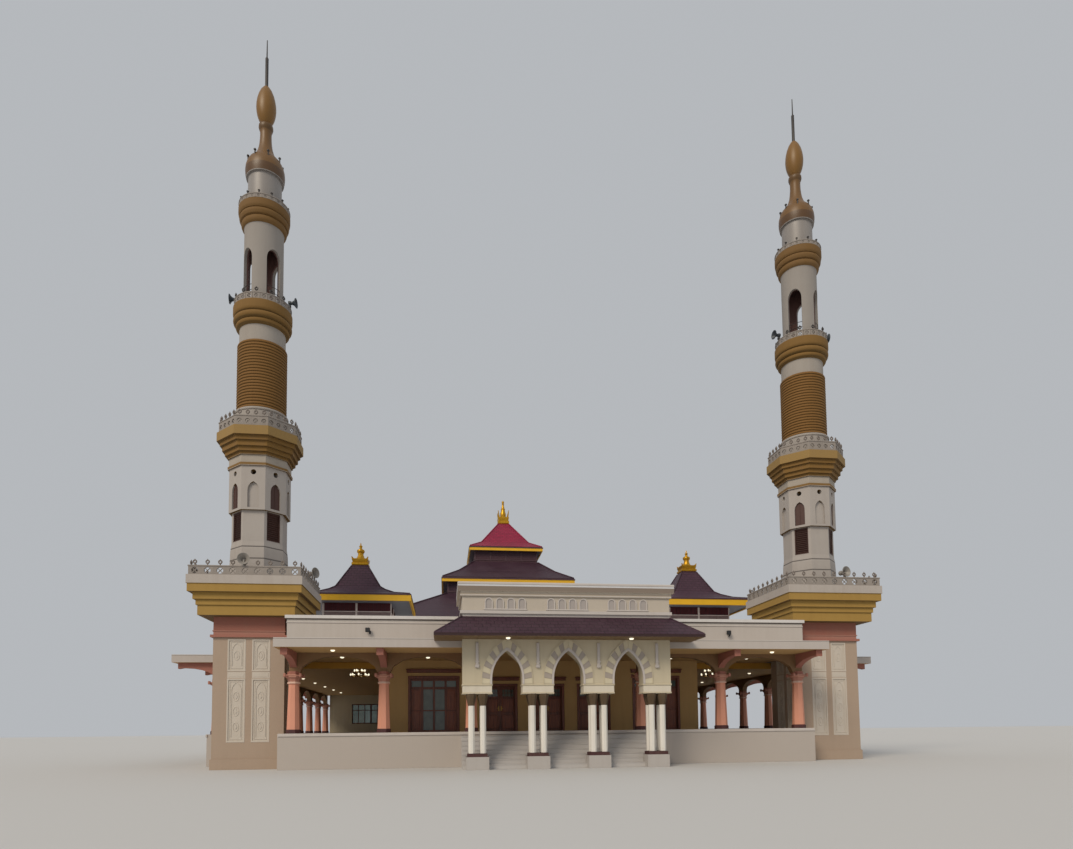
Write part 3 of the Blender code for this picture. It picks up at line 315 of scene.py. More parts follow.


# Walls of the hall
# The walls are brick and concrete under render, cream outside at the rear and ochre under the
# verandahs, where the ochre is painted shade and warm lamp light over a paler paint. The low walls
# between the roof tiers are painted the same dark aubergine as the tiles.
cream_paint = painted_render("cream_masonry_paint", [(0.0, "#C6BBA2")])
# The ochre of the verandah walls is painted shade and warm lamp light.
verandah_paint_and_shade = painted_render("verandah_wall_paint", [(0.0, "#BE9C69")], grime="#7A6542")
aubergine_paint = painted_render("tower_wall_paint", [(0.0, "#4A3139")], grime="#2C1B22", roughness=0.6)
repaint("rear_wall", cream_paint)
for name in ("hall_left_wall", "hall_right_wall", "front_wall_left", "front_wall_right",
             "front_wall_lintel", "front_wall_pier_left", "front_wall_pier_right"):
    repaint(name, verandah_paint_and_shade)
repaint("clerestory_wall", aubergine_paint)


# Porch piers and arches
# Three keel arches stand on clusters of four slim columns. The columns are cast concrete, painted
# white over a grey pedestal and a maroon slab, with dark flared capitals under the white blocks.
maroon = "#4A2B2D"
porch_face = -18.60
arch_centres = (-2.35, 0, 2.35)
pier_tones = [(0.0, "#B5B0AC"), (0.47, maroon), (0.605, "#E4E0D8"), (2.38, "#54432F"), (2.83, "#D6CEBE")]
pier_paint = painted_render("porch_pier_paint", pier_tones)
for name in ("porch_pier_1", "porch_pier_2", "porch_pier_3", "porch_pier_4"):
    repaint(name, pier_paint)
repaint("porch_arch_wall", cream_paint)


def first_point(name, at):
    """A piece of one point in edit mode, from which a line is drawn by extrusion."""
    put_away()
    bpy.ops.mesh.primitive_plane_add(size=0.1, location=at)
    piece = bpy.context.object
    piece.name = name
    bpy.ops.object.transform_apply(location=True)
    take_up(piece)
    bpy.ops.mesh.merge(type="CENTER")
    return piece


def traced(name, corners, push):
    """A flat piece drawn round its corners, filled, and given its thickness by an extrusion."""
    piece = first_point(name, corners[0])
    for corner, following in zip(corners, corners[1:]):
        step = Vector(following) - Vector(corner)
        bpy.ops.mesh.extrude_region_move(TRANSFORM_OT_translate={"value": step})
    bpy.ops.mesh.select_all(action="SELECT")
    bpy.ops.mesh.edge_face_add()
    bpy.ops.mesh.select_all(action="SELECT")
    bpy.ops.mesh.extrude_region_move(TRANSFORM_OT_translate={"value": push})
    bpy.ops.mesh.select_all(action="SELECT")
    bpy.ops.mesh.normals_make_consistent(inside=False)
    put_away()
    return piece


def keel(half, foot, spring, apex, steps=10):
    """Half widths and heights of a keel arch from its foot to its apex, on the right side."""
    turns = [math.pi / 2 * i / steps for i in range(steps)]
    curve = [(half * math.cos(t) ** 1.64, spring + (apex - spring) * math.sin(t)) for t in turns]
    return [(half, foot)] + curve + [(0.0, apex)]


def arch_band(name, x, y, inner, outer, push):
    """A moulding between an inner and an outer keel arch, drawn on the wall's face."""
    paths = []
    for line in (keel(*inner), keel(*outer)):
        paths.append([(x - u, y, z) for u, z in line] + [(x + u, y, z) for u, z in reversed(line[:-1])])
    return traced(name, paths[0] + list(reversed(paths[1])), (0, push, 0))


def moved(piece, shift, turn=0.0, axis="Z"):
    """Turns a piece about one of the origin's axes and then shifts it."""
    piece.data.transform(Matrix.Translation(shift) @ Matrix.Rotation(turn, 4, axis))
    return piece


def turned(piece, centre, turn):
    """Turns a piece about the upright line through a centre."""
    there = Matrix.Translation((*centre, 0))
    piece.data.transform(there @ Matrix.Rotation(turn, 4, "Z") @ there.inverted())
    return piece


def copied(piece, name, shift=(0, 0, 0), turn=0.0):
    """A copy with its own mesh, turned about the origin's upright line and then shifted."""
    twin = piece.copy()
    twin.data = piece.data.copy()
    twin.name = name
    scene.collection.objects.link(twin)
    return moved(twin, shift, turn)


# Each line of an arch is its half width, foot, spring and apex.
trim_inner, trim_outer = (0.572, 3.20, 3.42, 4.465), (0.648, 3.20, 3.44, 4.59)
edge_inner, edge_outer = (0.94, 3.215, 3.50, 4.90), (0.968, 3.215, 3.51, 4.945)
trims = [arch_band("trim", x, porch_face - 0.045, trim_inner, trim_outer, 0.06) for x in arch_centres]
settle(joined("porch_arch_trim", trims), white_paint)
edges = [arch_band("edge", x, porch_face - 0.032, edge_inner, edge_outer, 0.04) for x in arch_centres]
settle(joined("porch_arch_edges", edges), cream_paint)


def walk(points, share):
    """The point at a share of the length of a line of points."""
    lengths = [math.dist(a, b) for a, b in zip(points, points[1:])]
    left = share * sum(lengths)
    for a, b, length in zip(points, points[1:], lengths):
        if left <= length:
            return tuple(p + (q - p) * left / length for p, q in zip(a, b))
        left -= length
    return points[-1]


# The ring of arch stones is painted in turn cream and grey, four grey ones a side, and stands 20 mm
# proud of the wall with open joints between the stones.
stone_grey = painted_render("arch_stone_grey", [(0.0, "#A89E95")])
stone_cream = painted_render("arch_stone_cream", [(0.0, "#D0C6AC")])
stones_a_side, joint_share = 9, 0.003
ring_inner, ring_outer = keel(0.65, 3.215, 3.44, 4.60, 14), keel(0.94, 3.215, 3.50, 4.90, 14)
grey_stones, cream_stones = [], []
for side in (-1, 1):
    for number in range(stones_a_side):
        start, end = number / stones_a_side + joint_share, (number + 1) / stones_a_side - joint_share
        shares = (start, (start + end) / 2, end)
        outline = [walk(ring_inner, share) for share in shares]
        outline += [walk(ring_outer, share) for share in reversed(shares)]
        stone = traced("stone", [(side * u, porch_face - 0.02, z) for u, z in outline], (0, 0.03, 0))
        for x in arch_centres:
            (grey_stones if number % 2 else cream_stones).append(copied(stone, "arch_stone", (x, 0, 0)))
        bpy.data.objects.remove(stone)
settle(joined("porch_grey_arch_stones", grey_stones), stone_grey)
settle(joined("porch_cream_arch_stones", cream_stones), stone_cream)

# Mouldings run round each block where an arch springs, and white drops hang on the pier lines.
pier_lines = ((-3.48, 0.55), (-1.175, 0.595), (1.175, 0.595), (3.48, 0.55))
pier_depth = 0.62
mouldings, drops = [], []
for x, half in pier_lines:
    for out, low, high, ease in ((0.03, 3.14, 3.21, 0.015), (0.02, 2.83, 2.89, 0.01)):
        mouldings.append(block("moulding", (x - half - out, porch_face - out, low),
                               (x + half + out, porch_face + pier_depth + out, high), ease))
    for wide, out, low, high, ease in ((0.055, 0.07, 3.93, 4.78, 0.02), (0.085, 0.10, 3.81, 3.95, 0.03),
                                       (0.075, 0.085, 4.02, 4.07, 0.01)):
        drops.append(block("drop", (x - wide, porch_face - out, low), (x + wide, porch_face + 0.01, high),
                           ease))
settle(joined("porch_spring_mouldings", mouldings), cream_paint)
settle(joined("porch_white_drops", drops), white_paint)


# Porch parapet
# A rendered brick parapet closes the porch roof. It has a painted lip over a cove painted brown as
# the shade under the lip, a thin line below, and three rows of blind windows whose surrounds are cast
# and stuck on.
# The brown band from 6.722 m is painted shade in the cove under the lip.
parapet_tones = [(5.7, white), (5.992, "#BDB3A5"), (6.538, "#C9C0B2"), (6.60, "#AC9F8F"),
                 (6.66, "#CEC4B5"), (6.722, "#82756A"), (6.90, "#D0D1D4")]
repaint("porch_parapet", painted_render("porch_parapet_paint", parapet_tones))
lips = []
for low, high, out in ((6.965, 7.055, 0.175), (6.555, 6.585, 0.08)):
    lips.append(block("lip", (-porch_half - out, porch_face - out, low),
                      (porch_half + out, porch_face + 0.05, high), 0.015))
    for side in (-1, 1):
        lips.append(block("lip", (side * (porch_half + out), porch_face, low),
                          (side * (porch_half - 0.05), -15.50, high), 0.015))
settle(joined("porch_parapet_lips", lips), white_paint)


def round_head(half, spring, steps=6):
    """Points over a half circle, from its right spring to its left one."""
    turns = [math.pi * i / steps for i in range(steps + 1)]
    return [(half * math.cos(t), spring + half * math.sin(t)) for t in turns]


blind_half, blind_foot, blind_spring = 0.115, 6.06, 6.34
ring_half, post_line, blind_pitch = 0.155, 0.135, 0.42
inner = round_head(blind_half, blind_spring)
shape = [(blind_half, blind_foot)] + inner + [(-blind_half, blind_foot)]
blind = traced("blind", [(x, porch_face - 0.012, z) for x, z in shape], (0, 0.03, 0))
band = inner + list(reversed(round_head(ring_half, blind_spring)))
hood = traced("hood", [(x, porch_face - 0.04, z) for x, z in band], (0, 0.05, 0))
blinds, surrounds = [], []
for middle in (-2.40, -0.02, 2.35):
    for number in range(4):
        x = middle + blind_pitch * (number - 1.5)
        blinds.append(copied(blind, "blind", (x, 0, 0)))
        surrounds.append(copied(hood, "hood", (x, 0, 0)))
        for post in (x - post_line, x + post_line):
            surrounds.append(block("post", (post - 0.022, porch_face - 0.045, blind_foot),
                                   (post + 0.022, porch_face + 0.01, blind_spring + 0.02), 0.008))
    surrounds.append(block("sill", (middle - 0.83, porch_face - 0.05, 6.015),
                           (middle + 0.83, porch_face + 0.01, 6.065), 0.01))
bpy.data.objects.remove(blind)
bpy.data.objects.remove(hood)
# The sunk panels are painted greyer than the wall as painted shade, so that they read as recesses.
blind_painted_shade = painted_render("blind_window_paint", [(0.0, "#A8A19D")])
settle(joined("porch_blind_windows", blinds), blind_painted_shade)
settle(joined("porch_window_surrounds", surrounds), white_paint)


# Tiled roofs
# The roofs are pressed tiles in a dark aubergine glaze, laid in courses 0.3 m deep with broken
# joints, so the slopes show fine level lines. The top tier of the hall is the same tile in crimson.
def pressed_tiles(name, colours, under, start=None, neck="#4A3139"):
    """Glazed tiles on the slopes, paint under the eaves, and the neck's paint on what is below start.

    The colours are those of two lots of tiles and of the joints.
    """
    material, tree, place = new_finish(name)
    at = add(tree, "ShaderNodeSeparateXYZ", links={0: place.outputs["Object"]})
    facing = add(tree, "ShaderNodeSeparateXYZ", links={0: place.outputs["Normal"]})
    wide_x = add(tree, "ShaderNodeMath", {"operation": "ABSOLUTE"}, {0: facing.outputs["X"]})
    wide_y = add(tree, "ShaderNodeMath", {"operation": "ABSOLUTE"}, {0: facing.outputs["Y"]})
    sideways = add(tree, "ShaderNodeMath", {"operation": "GREATER_THAN"},
                   {0: wide_x.outputs[0], 1: wide_y.outputs[0]})
    along = add(tree, "ShaderNodeMix", {"data_type": "FLOAT"},
                {0: sideways.outputs[0], 2: at.outputs["X"], 3: at.outputs["Y"]})
    spread = add(tree, "ShaderNodeCombineXYZ", links={"X": along.outputs[0], "Y": at.outputs["Z"]})
    # A slope rises about half a metre in each, so a 0.3 m course is 0.15 m high. The joints are
    # drawn 14 mm wide, because the real 5 mm would not show.
    one, other, joint = (linear(colour) for colour in colours)
    tiles = add(tree, "ShaderNodeTexBrick",
                {"offset": 0.5, "Scale": 1.0, "Brick Width": 0.30, "Row Height": 0.15,
                 "Mortar Size": 0.014, "Mortar Smooth": 0.6, "Bias": 0.0, "Color1": one, "Color2": other,
                 "Mortar": joint},
                {"Vector": spread.outputs["Vector"]})
    # The glaze fades in clouds a little over a metre across.
    weather = add(tree, "ShaderNodeTexNoise", {"Scale": 0.8, "Detail": 5.0, "Roughness": 0.62},
                  {"Vector": place.outputs["Object"]})
    fade = add(tree, "ShaderNodeMapRange", {"From Min": 0.35, "From Max": 0.75, "To Max": 0.2},
               {"Value": weather.outputs["Fac"]})
    aged = add(tree, "ShaderNodeMix", {"data_type": "RGBA", 7: linear("#65525B")},
               {0: fade.outputs["Result"], 6: tiles.outputs["Color"]})
    down = add(tree, "ShaderNodeMath", {"operation": "LESS_THAN", 1: -0.7}, {0: facing.outputs["Z"]})
    coat = add(tree, "ShaderNodeMix", {"data_type": "RGBA", 7: linear(under)},
               {0: down.outputs[0], 6: aged.outputs[2]}).outputs[2]
    if start:
        low = add(tree, "ShaderNodeMath", {"operation": "LESS_THAN", 1: start}, {0: at.outputs["Z"]})
        wall = add(tree, "ShaderNodeMath", {"operation": "SUBTRACT", "use_clamp": True},
                   {0: low.outputs[0], 1: down.outputs[0]})
        coat = add(tree, "ShaderNodeMix", {"data_type": "RGBA", 7: linear(neck)},
                   {0: wall.outputs[0], 6: coat}).outputs[2]
    gloss = add(tree, "ShaderNodeMapRange", {"To Min": 0.38, "To Max": 0.65},
                {"Value": weather.outputs["Fac"]})
    bump = add(tree, "ShaderNodeBump", {"Strength": 0.7, "Distance": 0.02, "invert": True},
               {"Height": tiles.outputs["Fac"]})
    tree.nodes["Principled BSDF"].inputs["Specular IOR Level"].default_value = 0.3
    return fed(material, coat, gloss, bump)


aubergine = ("#402835", "#3A2330", "#26171F")
aubergine_tiles = pressed_tiles("aubergine_roof_tiles", aubergine, "#554B57")
crimson_tiles = pressed_tiles("crimson_roof_tiles", ("#9A2144", "#8C1C3E", "#561327"), "#554B57", 15.44)
# Under the porch skirt the brown under tone is painted shade on the soffit.
skirt_tiles = pressed_tiles("skirt_roof_tiles", aubergine, "#7A6244", 5.0, "#3A2829")
pavilion_tiles = pressed_tiles("pavilion_roof_tiles", ("#4A303F", "#432B39", "#2C1C25"), "#858B98")
repaint("porch_skirt_roof", skirt_tiles)
repaint("left_pavilion_roof", pavilion_tiles)
repaint("right_pavilion_roof", pavilion_tiles)
repaint("lower_roof_tier", aubergine_tiles)
repaint("middle_roof_tier", aubergine_tiles)
repaint("top_roof_tier", crimson_tiles)


# Eaves and hips
# Boards nailed under the eaves of the tiers and the pavilions are painted yellow, with a line of
# tile edges above them, painted dark aubergine as the tile edges in shade, also under the crimson
# tiles. Half-round caps are bedded over the hips, in the colour of their slope.
hall_centre = (0, 10.44)
pavilion_centres = {"left": (-9.20, -6.31), "right": (9.20, -6.31)}
# Oil paint on timber has a soft gloss and keeps its brightness.
yellow_paint = painted_render("yellow_fascia_paint", [(0.0, "#E8B41E")], grime="#8E6210", roughness=0.55)


def square_frame(name, centre, half, low, high, deep):
    """Four boards mitred round a square eave."""
    x, y = centre
    inner = half - deep
    corners = [(x - half, y - half, low), (x + half, y - half, low),
               (x + inner, y - inner, low), (x - inner, y - inner, low)]
    return joined(name, [turned(traced(name, corners, (0, 0, high - low)), centre, math.pi / 2 * i)
                         for i in range(4)])


def hip_cap(name, start, end, radius):
    """A round cap that runs up a hip between two points."""
    put_away()
    run = Vector(end) - Vector(start)
    bpy.ops.mesh.primitive_cylinder_add(vertices=8, radius=radius, depth=run.length,
                                        location=Vector(start) + run / 2)
    cap = bpy.context.object
    cap.name = name
    cap.rotation_mode = "QUATERNION"
    cap.rotation_quaternion = run.to_track_quat("Z", "Y")
    bpy.ops.object.transform_apply(location=True, rotation=True, scale=True)
    take_up(cap)
    bpy.ops.mesh.bevel(offset=radius * 0.2, segments=1, affect="EDGES")
    put_away()
    return cap


def hips(name, centre, slope, radius):
    """Caps up the four hips of a square roof, whose slope is given as half widths and heights."""
    x, y = centre
    caps = []
    for along, across in ((-1, -1), (1, -1), (1, 1), (-1, 1)):
        for (a, low), (b, high) in zip(slope, slope[1:]):
            caps.append(hip_cap(name, (x + along * a, y + across * a, low),
                                (x + along * b, y + across * b, high), radius))
    return joined(name, caps)


fascias = [square_frame("fascia", hall_centre, half, low, high, 0.10)
           for half, low, high in ((2.80, 15.14, 15.35), (4.87, 12.26, 12.47), (9.21, 8.69, 8.88))]
settle(joined("hall_yellow_fascias", fascias), yellow_paint, angle=0)
# The dark strip of tile edges is painted shade as well as tile, so it stays aubergine under crimson.
tile_edges_and_shade = [square_frame("edge", hall_centre, 2.83, 15.35, 15.43, 0.12),
              square_frame("edge", hall_centre, 4.90, 12.47, 12.56, 0.12)]
tile_edges_and_shade += [square_frame("edge", centre, 2.84, 8.37, 8.43, 0.12)
               for centre in pavilion_centres.values()]
settle(joined("eave_tile_edges", tile_edges_and_shade), aubergine_paint, angle=0)
top_slope = [(0.42, 17.89), (1.83, 16.02), (2.74, 15.50)]
middle_slope = [(2.45, 14.33), (3.60, 13.37), (4.80, 12.65)]
lower_slope = [(4.50, 11.44), (6.86, 10.19), (9.15, 9.03)]
pavilion_slope = [(0.42, 10.40), (0.68, 9.95), (0.95, 9.47), (1.15, 9.12), (1.42, 8.92), (1.92, 8.67),
                  (2.76, 8.46)]
settle(hips("crimson_hip_caps", hall_centre, top_slope, 0.05), crimson_tiles)
dark_caps = [hips("hips", hall_centre, middle_slope, 0.06), hips("hips", hall_centre, lower_slope, 0.07)]
for word, centre in pavilion_centres.items():
    dark_caps.append(hips("hips", centre, pavilion_slope, 0.04))
    settle(square_frame(f"{word}_pavilion_fascia", centre, 2.82, 8.07, 8.37, 0.10), yellow_paint,
           angle=0)
skirt_reach = 1.01
for side in (-1, 1):
    dark_caps.append(hip_cap("skirt_hip", (side * porch_half, porch_face, 5.76),
                             (side * (porch_half + skirt_reach), porch_face - skirt_reach, 5.02), 0.045))
settle(joined("dark_hip_caps", dark_caps), aubergine_tiles)

# The necks between the tiers carry upright boards with a thin rail.
neck_boards = []
for half, low, high, count in ((4.45, 11.50, 12.24, 9), (2.40, 14.40, 15.12, 5)):
    side = [block("neck_rail", (-half, -half - 0.03, low + 0.04), (half, -half + 0.02, low + 0.12), 0.01)]
    for number in range(count):
        x = -half + 0.05 + (2 * half - 0.1) * number / (count - 1)
        side.append(block("neck_stud", (x - 0.05, -half - 0.025, low), (x + 0.05, -half + 0.02, high),
                          0.01))
    side = joined("neck_side", side)
    neck_boards += [copied(side, "neck_side", (*hall_centre, 0), math.pi / 2 * i) for i in range(4)]
    bpy.data.objects.remove(side)
settle(joined("tier_neck_boards", neck_boards), aubergine_paint)


# Flat roofs and their parapets
# The flat roofs are concrete slabs with a painted lip, a dark line painted under it as its shade, and
# an underside painted brown as painted shade and warm lamp light. A solid parapet stands on them, with
# a thin line, a moulding and a cap, and dark lines of painted shade under the cap and the thin line.
# The thin dark band at 4.955 m is painted shade under the lip, and the brown under tone is painted shade
# and warm lamp light on the soffits.
slab_tones = [(4.5, "#BAB2AC"), (4.955, "#837B75"), (4.975, "#CBC6C2")]
slab_paint_and_shade = painted_render("canopy_paint", slab_tones, under="#BC9863")
for name in ("front_roof", "left_side_roof", "right_side_roof"):
    repaint(name, slab_paint_and_shade)
# The dark bands at 5.84 m and 5.985 m are painted shade under the thin line and under the cap.
roof_wall_tones = [(4.9, "#BBB3AC"), (5.84, "#958D85"), (5.862, "#C2BBB4"), (5.985, "#746C66"),
                   (6.035, "#D2CFCD")]
roof_wall_paint_and_shade = painted_render("parapet_paint", roof_wall_tones)
repaint("left_roof_parapet", roof_wall_paint_and_shade)
repaint("right_roof_parapet", roof_wall_paint_and_shade)
parapet_run = [(4.13, -15.98), (10.95, -15.98), (10.95, -11.86), (14.95, -11.86), (14.95, 17.90),
               (7.25, 17.90)]
lines = []
for side in (-1, 1):
    for low, high, out in ((5.86, 5.90, 0.025), (5.015, 5.06, 0.03)):
        for (x0, y0), (x1, y1) in zip(parapet_run, parapet_run[1:]):
            xs, ys = sorted((side * x0, side * x1)), sorted((y0, y1))
            past_x, past_y = (0.01, out) if y0 == y1 else (out, 0.01)
            lines.append(block("line", (xs[0] - past_x, ys[0] - past_y, low),
                               (xs[1] + past_x, ys[1] + past_y, high), 0.01))
settle(joined("parapet_lines", lines), white_paint)


# Verandah arcades
# Eight-sided tapering columns are cast concrete, painted pink over a maroon foot. They carry curved
# pink brackets and a beam in the same pink, which is painted brown like the ceiling as painted shade.
# Pale rings are cast round the necks, and small ears stand at the corners of the capitals.
pink = "#D9987F"
front_line, side_line = -15.91, 14.85
column_tones = [(0.0, maroon), (1.58, pink), (3.395, "#D8BCAC"), (3.47, "#B37E6C"), (3.655, "#BE8D7A"),
                (3.775, "#A0685A")]
# The brown core tone on the beam is painted shade over the columns' pink.
beam_half, beam_foot = 0.165, 3.86
for word, side in (("left", -1), ("right", 1)):
    for run, axis, line in (("front", "Y", front_line), ("side", "X", side * side_line)):
        node = f"{word}_{run}_arcade"
        repaint(node, painted_render(f"{node}_paint", column_tones, grime="#8A4A3C", roughness=0.7,
                                     core=(axis, line, beam_half, beam_foot, "#7D6141")))
side_start, side_end, foot_radius, side_bays = -11.60, 17.64, 0.245, 8
side_bay = (side_end - 1.2 * foot_radius - side_start) / side_bays
columns = [(side * (10.66 - 3.53 * i), front_line) for side in (-1, 1) for i in range(3)]
columns += [(side * side_line, side_start + side_bay * i) for side in (-1, 1)
            for i in range(side_bays + 1)]
put_away()
bpy.ops.mesh.primitive_cylinder_add(vertices=8, radius=0.262, depth=0.05, location=(0, 0, 3.43),
                                    rotation=(0, 0, math.pi / 8))
ring = bpy.context.object
bpy.ops.object.transform_apply(location=True, rotation=True, scale=True)
take_up(ring)
bpy.ops.mesh.bevel(offset=0.012, segments=2, affect="EDGES")
put_away()
ears = []
for x in (-0.30, 0.30):
    for y in (-0.30, 0.30):
        ears.append(block("ear", (x - 0.05, y - 0.05, 3.66), (x + 0.05, y + 0.05, 3.81), 0.02))
ears.append(block("ear_band", (-0.325, -0.325, 3.70), (0.325, 0.325, 3.74), 0.012))
ears = joined("ears", ears)
all_rings = [copied(ring, "ring", (x, y, 0)) for x, y in columns]
all_ears = [copied(ears, "ears", (x, y, 0)) for x, y in columns]
bpy.data.objects.remove(ring)
bpy.data.objects.remove(ears)
ring_paint = painted_render("column_ring_paint", [(0.0, "#DDBBA9")])
capital_paint = painted_render("capital_paint", [(0.0, "#B07A69")], grime="#8A4A3C", roughness=0.7)
settle(joined("column_neck_rings", all_rings), ring_paint)
settle(joined("column_capital_ears", all_ears), capital_paint)


# Door leaves
# Three pairs of leaves in stained merbau close the hall. Each leaf is 50 mm thick and has two raised
# panels, a glazed top light behind bars, and on both faces a brass lever on a plate.
def stained_timber(name, dark, light):
    """Dark varnished timber with a soft gloss and the grain running up. Real grain is a few
    millimetres wide and is drawn 45 mm wide, so that it shows."""
    material, tree, place = new_finish(name)
    stretch = add(tree, "ShaderNodeMapping", {"Scale": (22.0, 22.0, 1.4)},
                  {"Vector": place.outputs["Object"]})
    grain = add(tree, "ShaderNodeTexNoise", {"Scale": 1.0, "Detail": 8.0, "Roughness": 0.65},
                {"Vector": stretch.outputs["Vector"]})
    tone = add(tree, "ShaderNodeValToRGB", links={"Fac": grain.outputs["Fac"]})
    for stop, position, colour in zip(tone.color_ramp.elements, (0.3, 0.72), (dark, light)):
        stop.position = position
        stop.color = linear(colour)
    rough = add(tree, "ShaderNodeMapRange", {"To Min": 0.28, "To Max": 0.5},
                {"Value": grain.outputs["Fac"]})
    bump = add(tree, "ShaderNodeBump", {"Strength": 0.25, "Distance": 0.002},
               {"Height": grain.outputs["Fac"]})
    return fed(material, tone.outputs["Color"], rough, bump)


def mottled(name, dark, light, scale, detail, rough, settings):
    """A finish that drifts between two tones, in marks of a scale and detail. Its roughness is one
    value or drifts between two, and the settings go on the shader's own sockets."""
    material, tree, place = new_finish(name)
    shader = tree.nodes["Principled BSDF"]
    marks = add(tree, "ShaderNodeTexNoise", {"Scale": scale, "Detail": detail},
                {"Vector": place.outputs["Object"]})
    tone = add(tree, "ShaderNodeValToRGB", links={"Fac": marks.outputs["Fac"]})
    tone.color_ramp.elements[0].color = linear(dark)
    tone.color_ramp.elements[1].color = linear(light)
    tree.links.new(tone.outputs["Color"], shader.inputs["Base Color"])
    if len(rough) == 2:
        drift = add(tree, "ShaderNodeMapRange", {"To Min": rough[0], "To Max": rough[1]},
                    {"Value": marks.outputs["Fac"]})
        tree.links.new(drift.outputs["Result"], shader.inputs["Roughness"])
    else:
        shader.inputs["Roughness"].default_value = rough[0]
    for socket, value in settings.items():
        shader.inputs[socket].default_value = value
    if "Emission Strength" in settings:
        tree.links.new(tone.outputs["Color"], shader.inputs["Emission Color"])
    return material


timber = stained_timber("stained_merbau", "#4E241B", "#864A33")
panel_timber = stained_timber("panel_merbau", "#633023", "#995638")
# Float glass is clear and sharp, with a thin film of dust in patches 0.3 m across.
window_glass = mottled("float_glass", "#7E8C86", "#A3B0A8", 3.0, 5.0, (0.06,),
                       {"IOR": 1.5, "Transmission Weight": 0.55})
# Brushed brass is bright with a satin sheen. Its marks, under 1 mm, are drawn 17 mm coarse.
brass = mottled("brushed_brass", "#8C6B34", "#C9A45C", 60.0, 4.0, (0.25, 0.4), {"Metallic": 1.0})
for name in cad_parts:
    if name.endswith(("_leaf", "_screen")):
        repaint(name, timber)
door_pitch, leaf_middle, leaf_thick = 2.17, 0.362, 0.05
wall_back = -12.66
back = wall_back + 0.006
front = back - leaf_thick
panel_half, bead = 0.25, 0.03
for word, door in (("left", -door_pitch), ("middle", 0.0), ("right", door_pitch)):
    for hand, side in (("left", -1), ("right", 1)):
        body = f"{word}_door_{hand}"
        middle = door + side * leaf_middle
        left, right = middle - panel_half, middle + panel_half
        panels = []
        for low, high in ((1.58, 2.14), (2.32, 2.86)):
            panels.append(block("panel", (left, front - 0.014, low), (right, front + 0.004, high), 0.012))
            panels.append(block("panel", (left, back - 0.004, low), (right, back + 0.012, high), 0.012))
            for a, b, foot, head in ((left - bead, right + bead, low - bead, low),
                                     (left - bead, right + bead, high, high + bead),
                                     (left - bead, left, low, high), (right, right + bead, low, high)):
                panels.append(block("bead", (a, front - 0.02, foot), (b, front + 0.004, head), 0.005))
        settle(joined(f"{body}_panels", panels), panel_timber, body)
        pane = block(f"{body}_pane", (left, front - 0.006, 3.02), (right, front + 0.003, 3.34), 0.002)
        settle(pane, window_glass, body)
        bars = []
        for number in range(5):
            x = middle + 0.14 * (number - 2)
            bars.append(block("bar", (x - 0.01, front - 0.016, 3.0), (x + 0.01, front + 0.003, 3.36),
                              0.004))
        for z in (3.01, 3.18, 3.35):
            bars.append(block("bar", (middle - 0.29, front - 0.016, z - 0.012),
                              (middle + 0.29, front + 0.003, z + 0.012), 0.004))
        settle(joined(f"{body}_bars", bars), timber, body)
        x = door + side * 0.055
        lever = []
        for face, out in ((front, -1), (back, 1)):
            lever += [block("plate", (x - 0.02, face - out * 0.003, 2.36),
                            (x + 0.02, face + out * 0.008, 2.58), 0.004),
                      block("neck", (x - 0.01, face, 2.46), (x + 0.01, face + out * 0.045, 2.48), 0.004),
                      block("grip", (x, face + out * 0.035, 2.458),
                            (x + side * 0.10, face + out * 0.055, 2.482), 0.008)]
        settle(joined(f"{body}_lever", lever), brass, body)


# Door and screen casings
# Merbau casings are nailed round the three doorways and the two screens of the front wall, with a
# deep hood board and its lip over each.
wall_face = -12.96
door_half, screen_centre, screen_half = 0.73, 5.17, 1.09
openings = [(x, door_half, 3.47) for x in (-door_pitch, 0.0, door_pitch)]
openings += [(x, screen_half, 3.83) for x in (-screen_centre, screen_centre)]
casings = []
for x, half, head in openings:
    for jamb in (x - half, x + half):
        casings.append(block("jamb", (jamb - 0.055, wall_face - 0.035, floor_level + 0.005),
                             (jamb + 0.055, wall_face + 0.02, head + 0.05), 0.01))
    for past, out, low, high, ease in ((0.06, 0.04, -0.01, 0.12, 0.012), (0.12, 0.09, 0.26, 0.40, 0.015),
                                       (0.15, 0.12, 0.385, 0.43, 0.01)):
        casings.append(block("board", (x - half - past, wall_face - out, head + low),
                             (x + half + past, wall_face + 0.02, head + high), ease))
settle(joined("front_door_casings", casings), timber)


# Glazed screens
# The merbau screens beside the doors have four bays. Float glass is puttied into the middle two and
# into the row of top lights, and the outer bays are boarded with two raised panels each.
stile = 0.09
pitch = (2 * screen_half - 2 * seam - stile) / 4
clear = pitch - stile
panes, bars, boards = [], [], []
for side in (-1, 1):
    for bay in range(4):
        start = side * screen_centre - screen_half + stile + seam + pitch * bay
        end = start + clear
        for low, high in ((1.512, 3.355), (3.46, 3.735)):
            if bay in (0, 3) and high < 3.4:
                boards.append(block("board", (start + 0.002, -12.835, low + 0.002),
                                    (end - 0.002, -12.810, high - 0.002), 0.003))
                for foot, head in ((low + 0.06, 2.33), (2.45, high - 0.06)):
                    boards.append(block("raised", (start + 0.06, -12.846, foot),
                                        (end - 0.06, -12.800, head), 0.015))
            else:
                panes.append(block("pane", (start + 0.004, -12.826, low + 0.004),
                                   (end - 0.004, -12.818, high - 0.004), 0.002))
        bars.append(block("bar", (start, -12.845, 2.36), (end, -12.815, 2.42), 0.006))
settle(joined("front_screen_panes", panes), window_glass)
settle(joined("front_screen_bars", bars), timber)
settle(joined("front_screen_boards", boards), panel_timber)


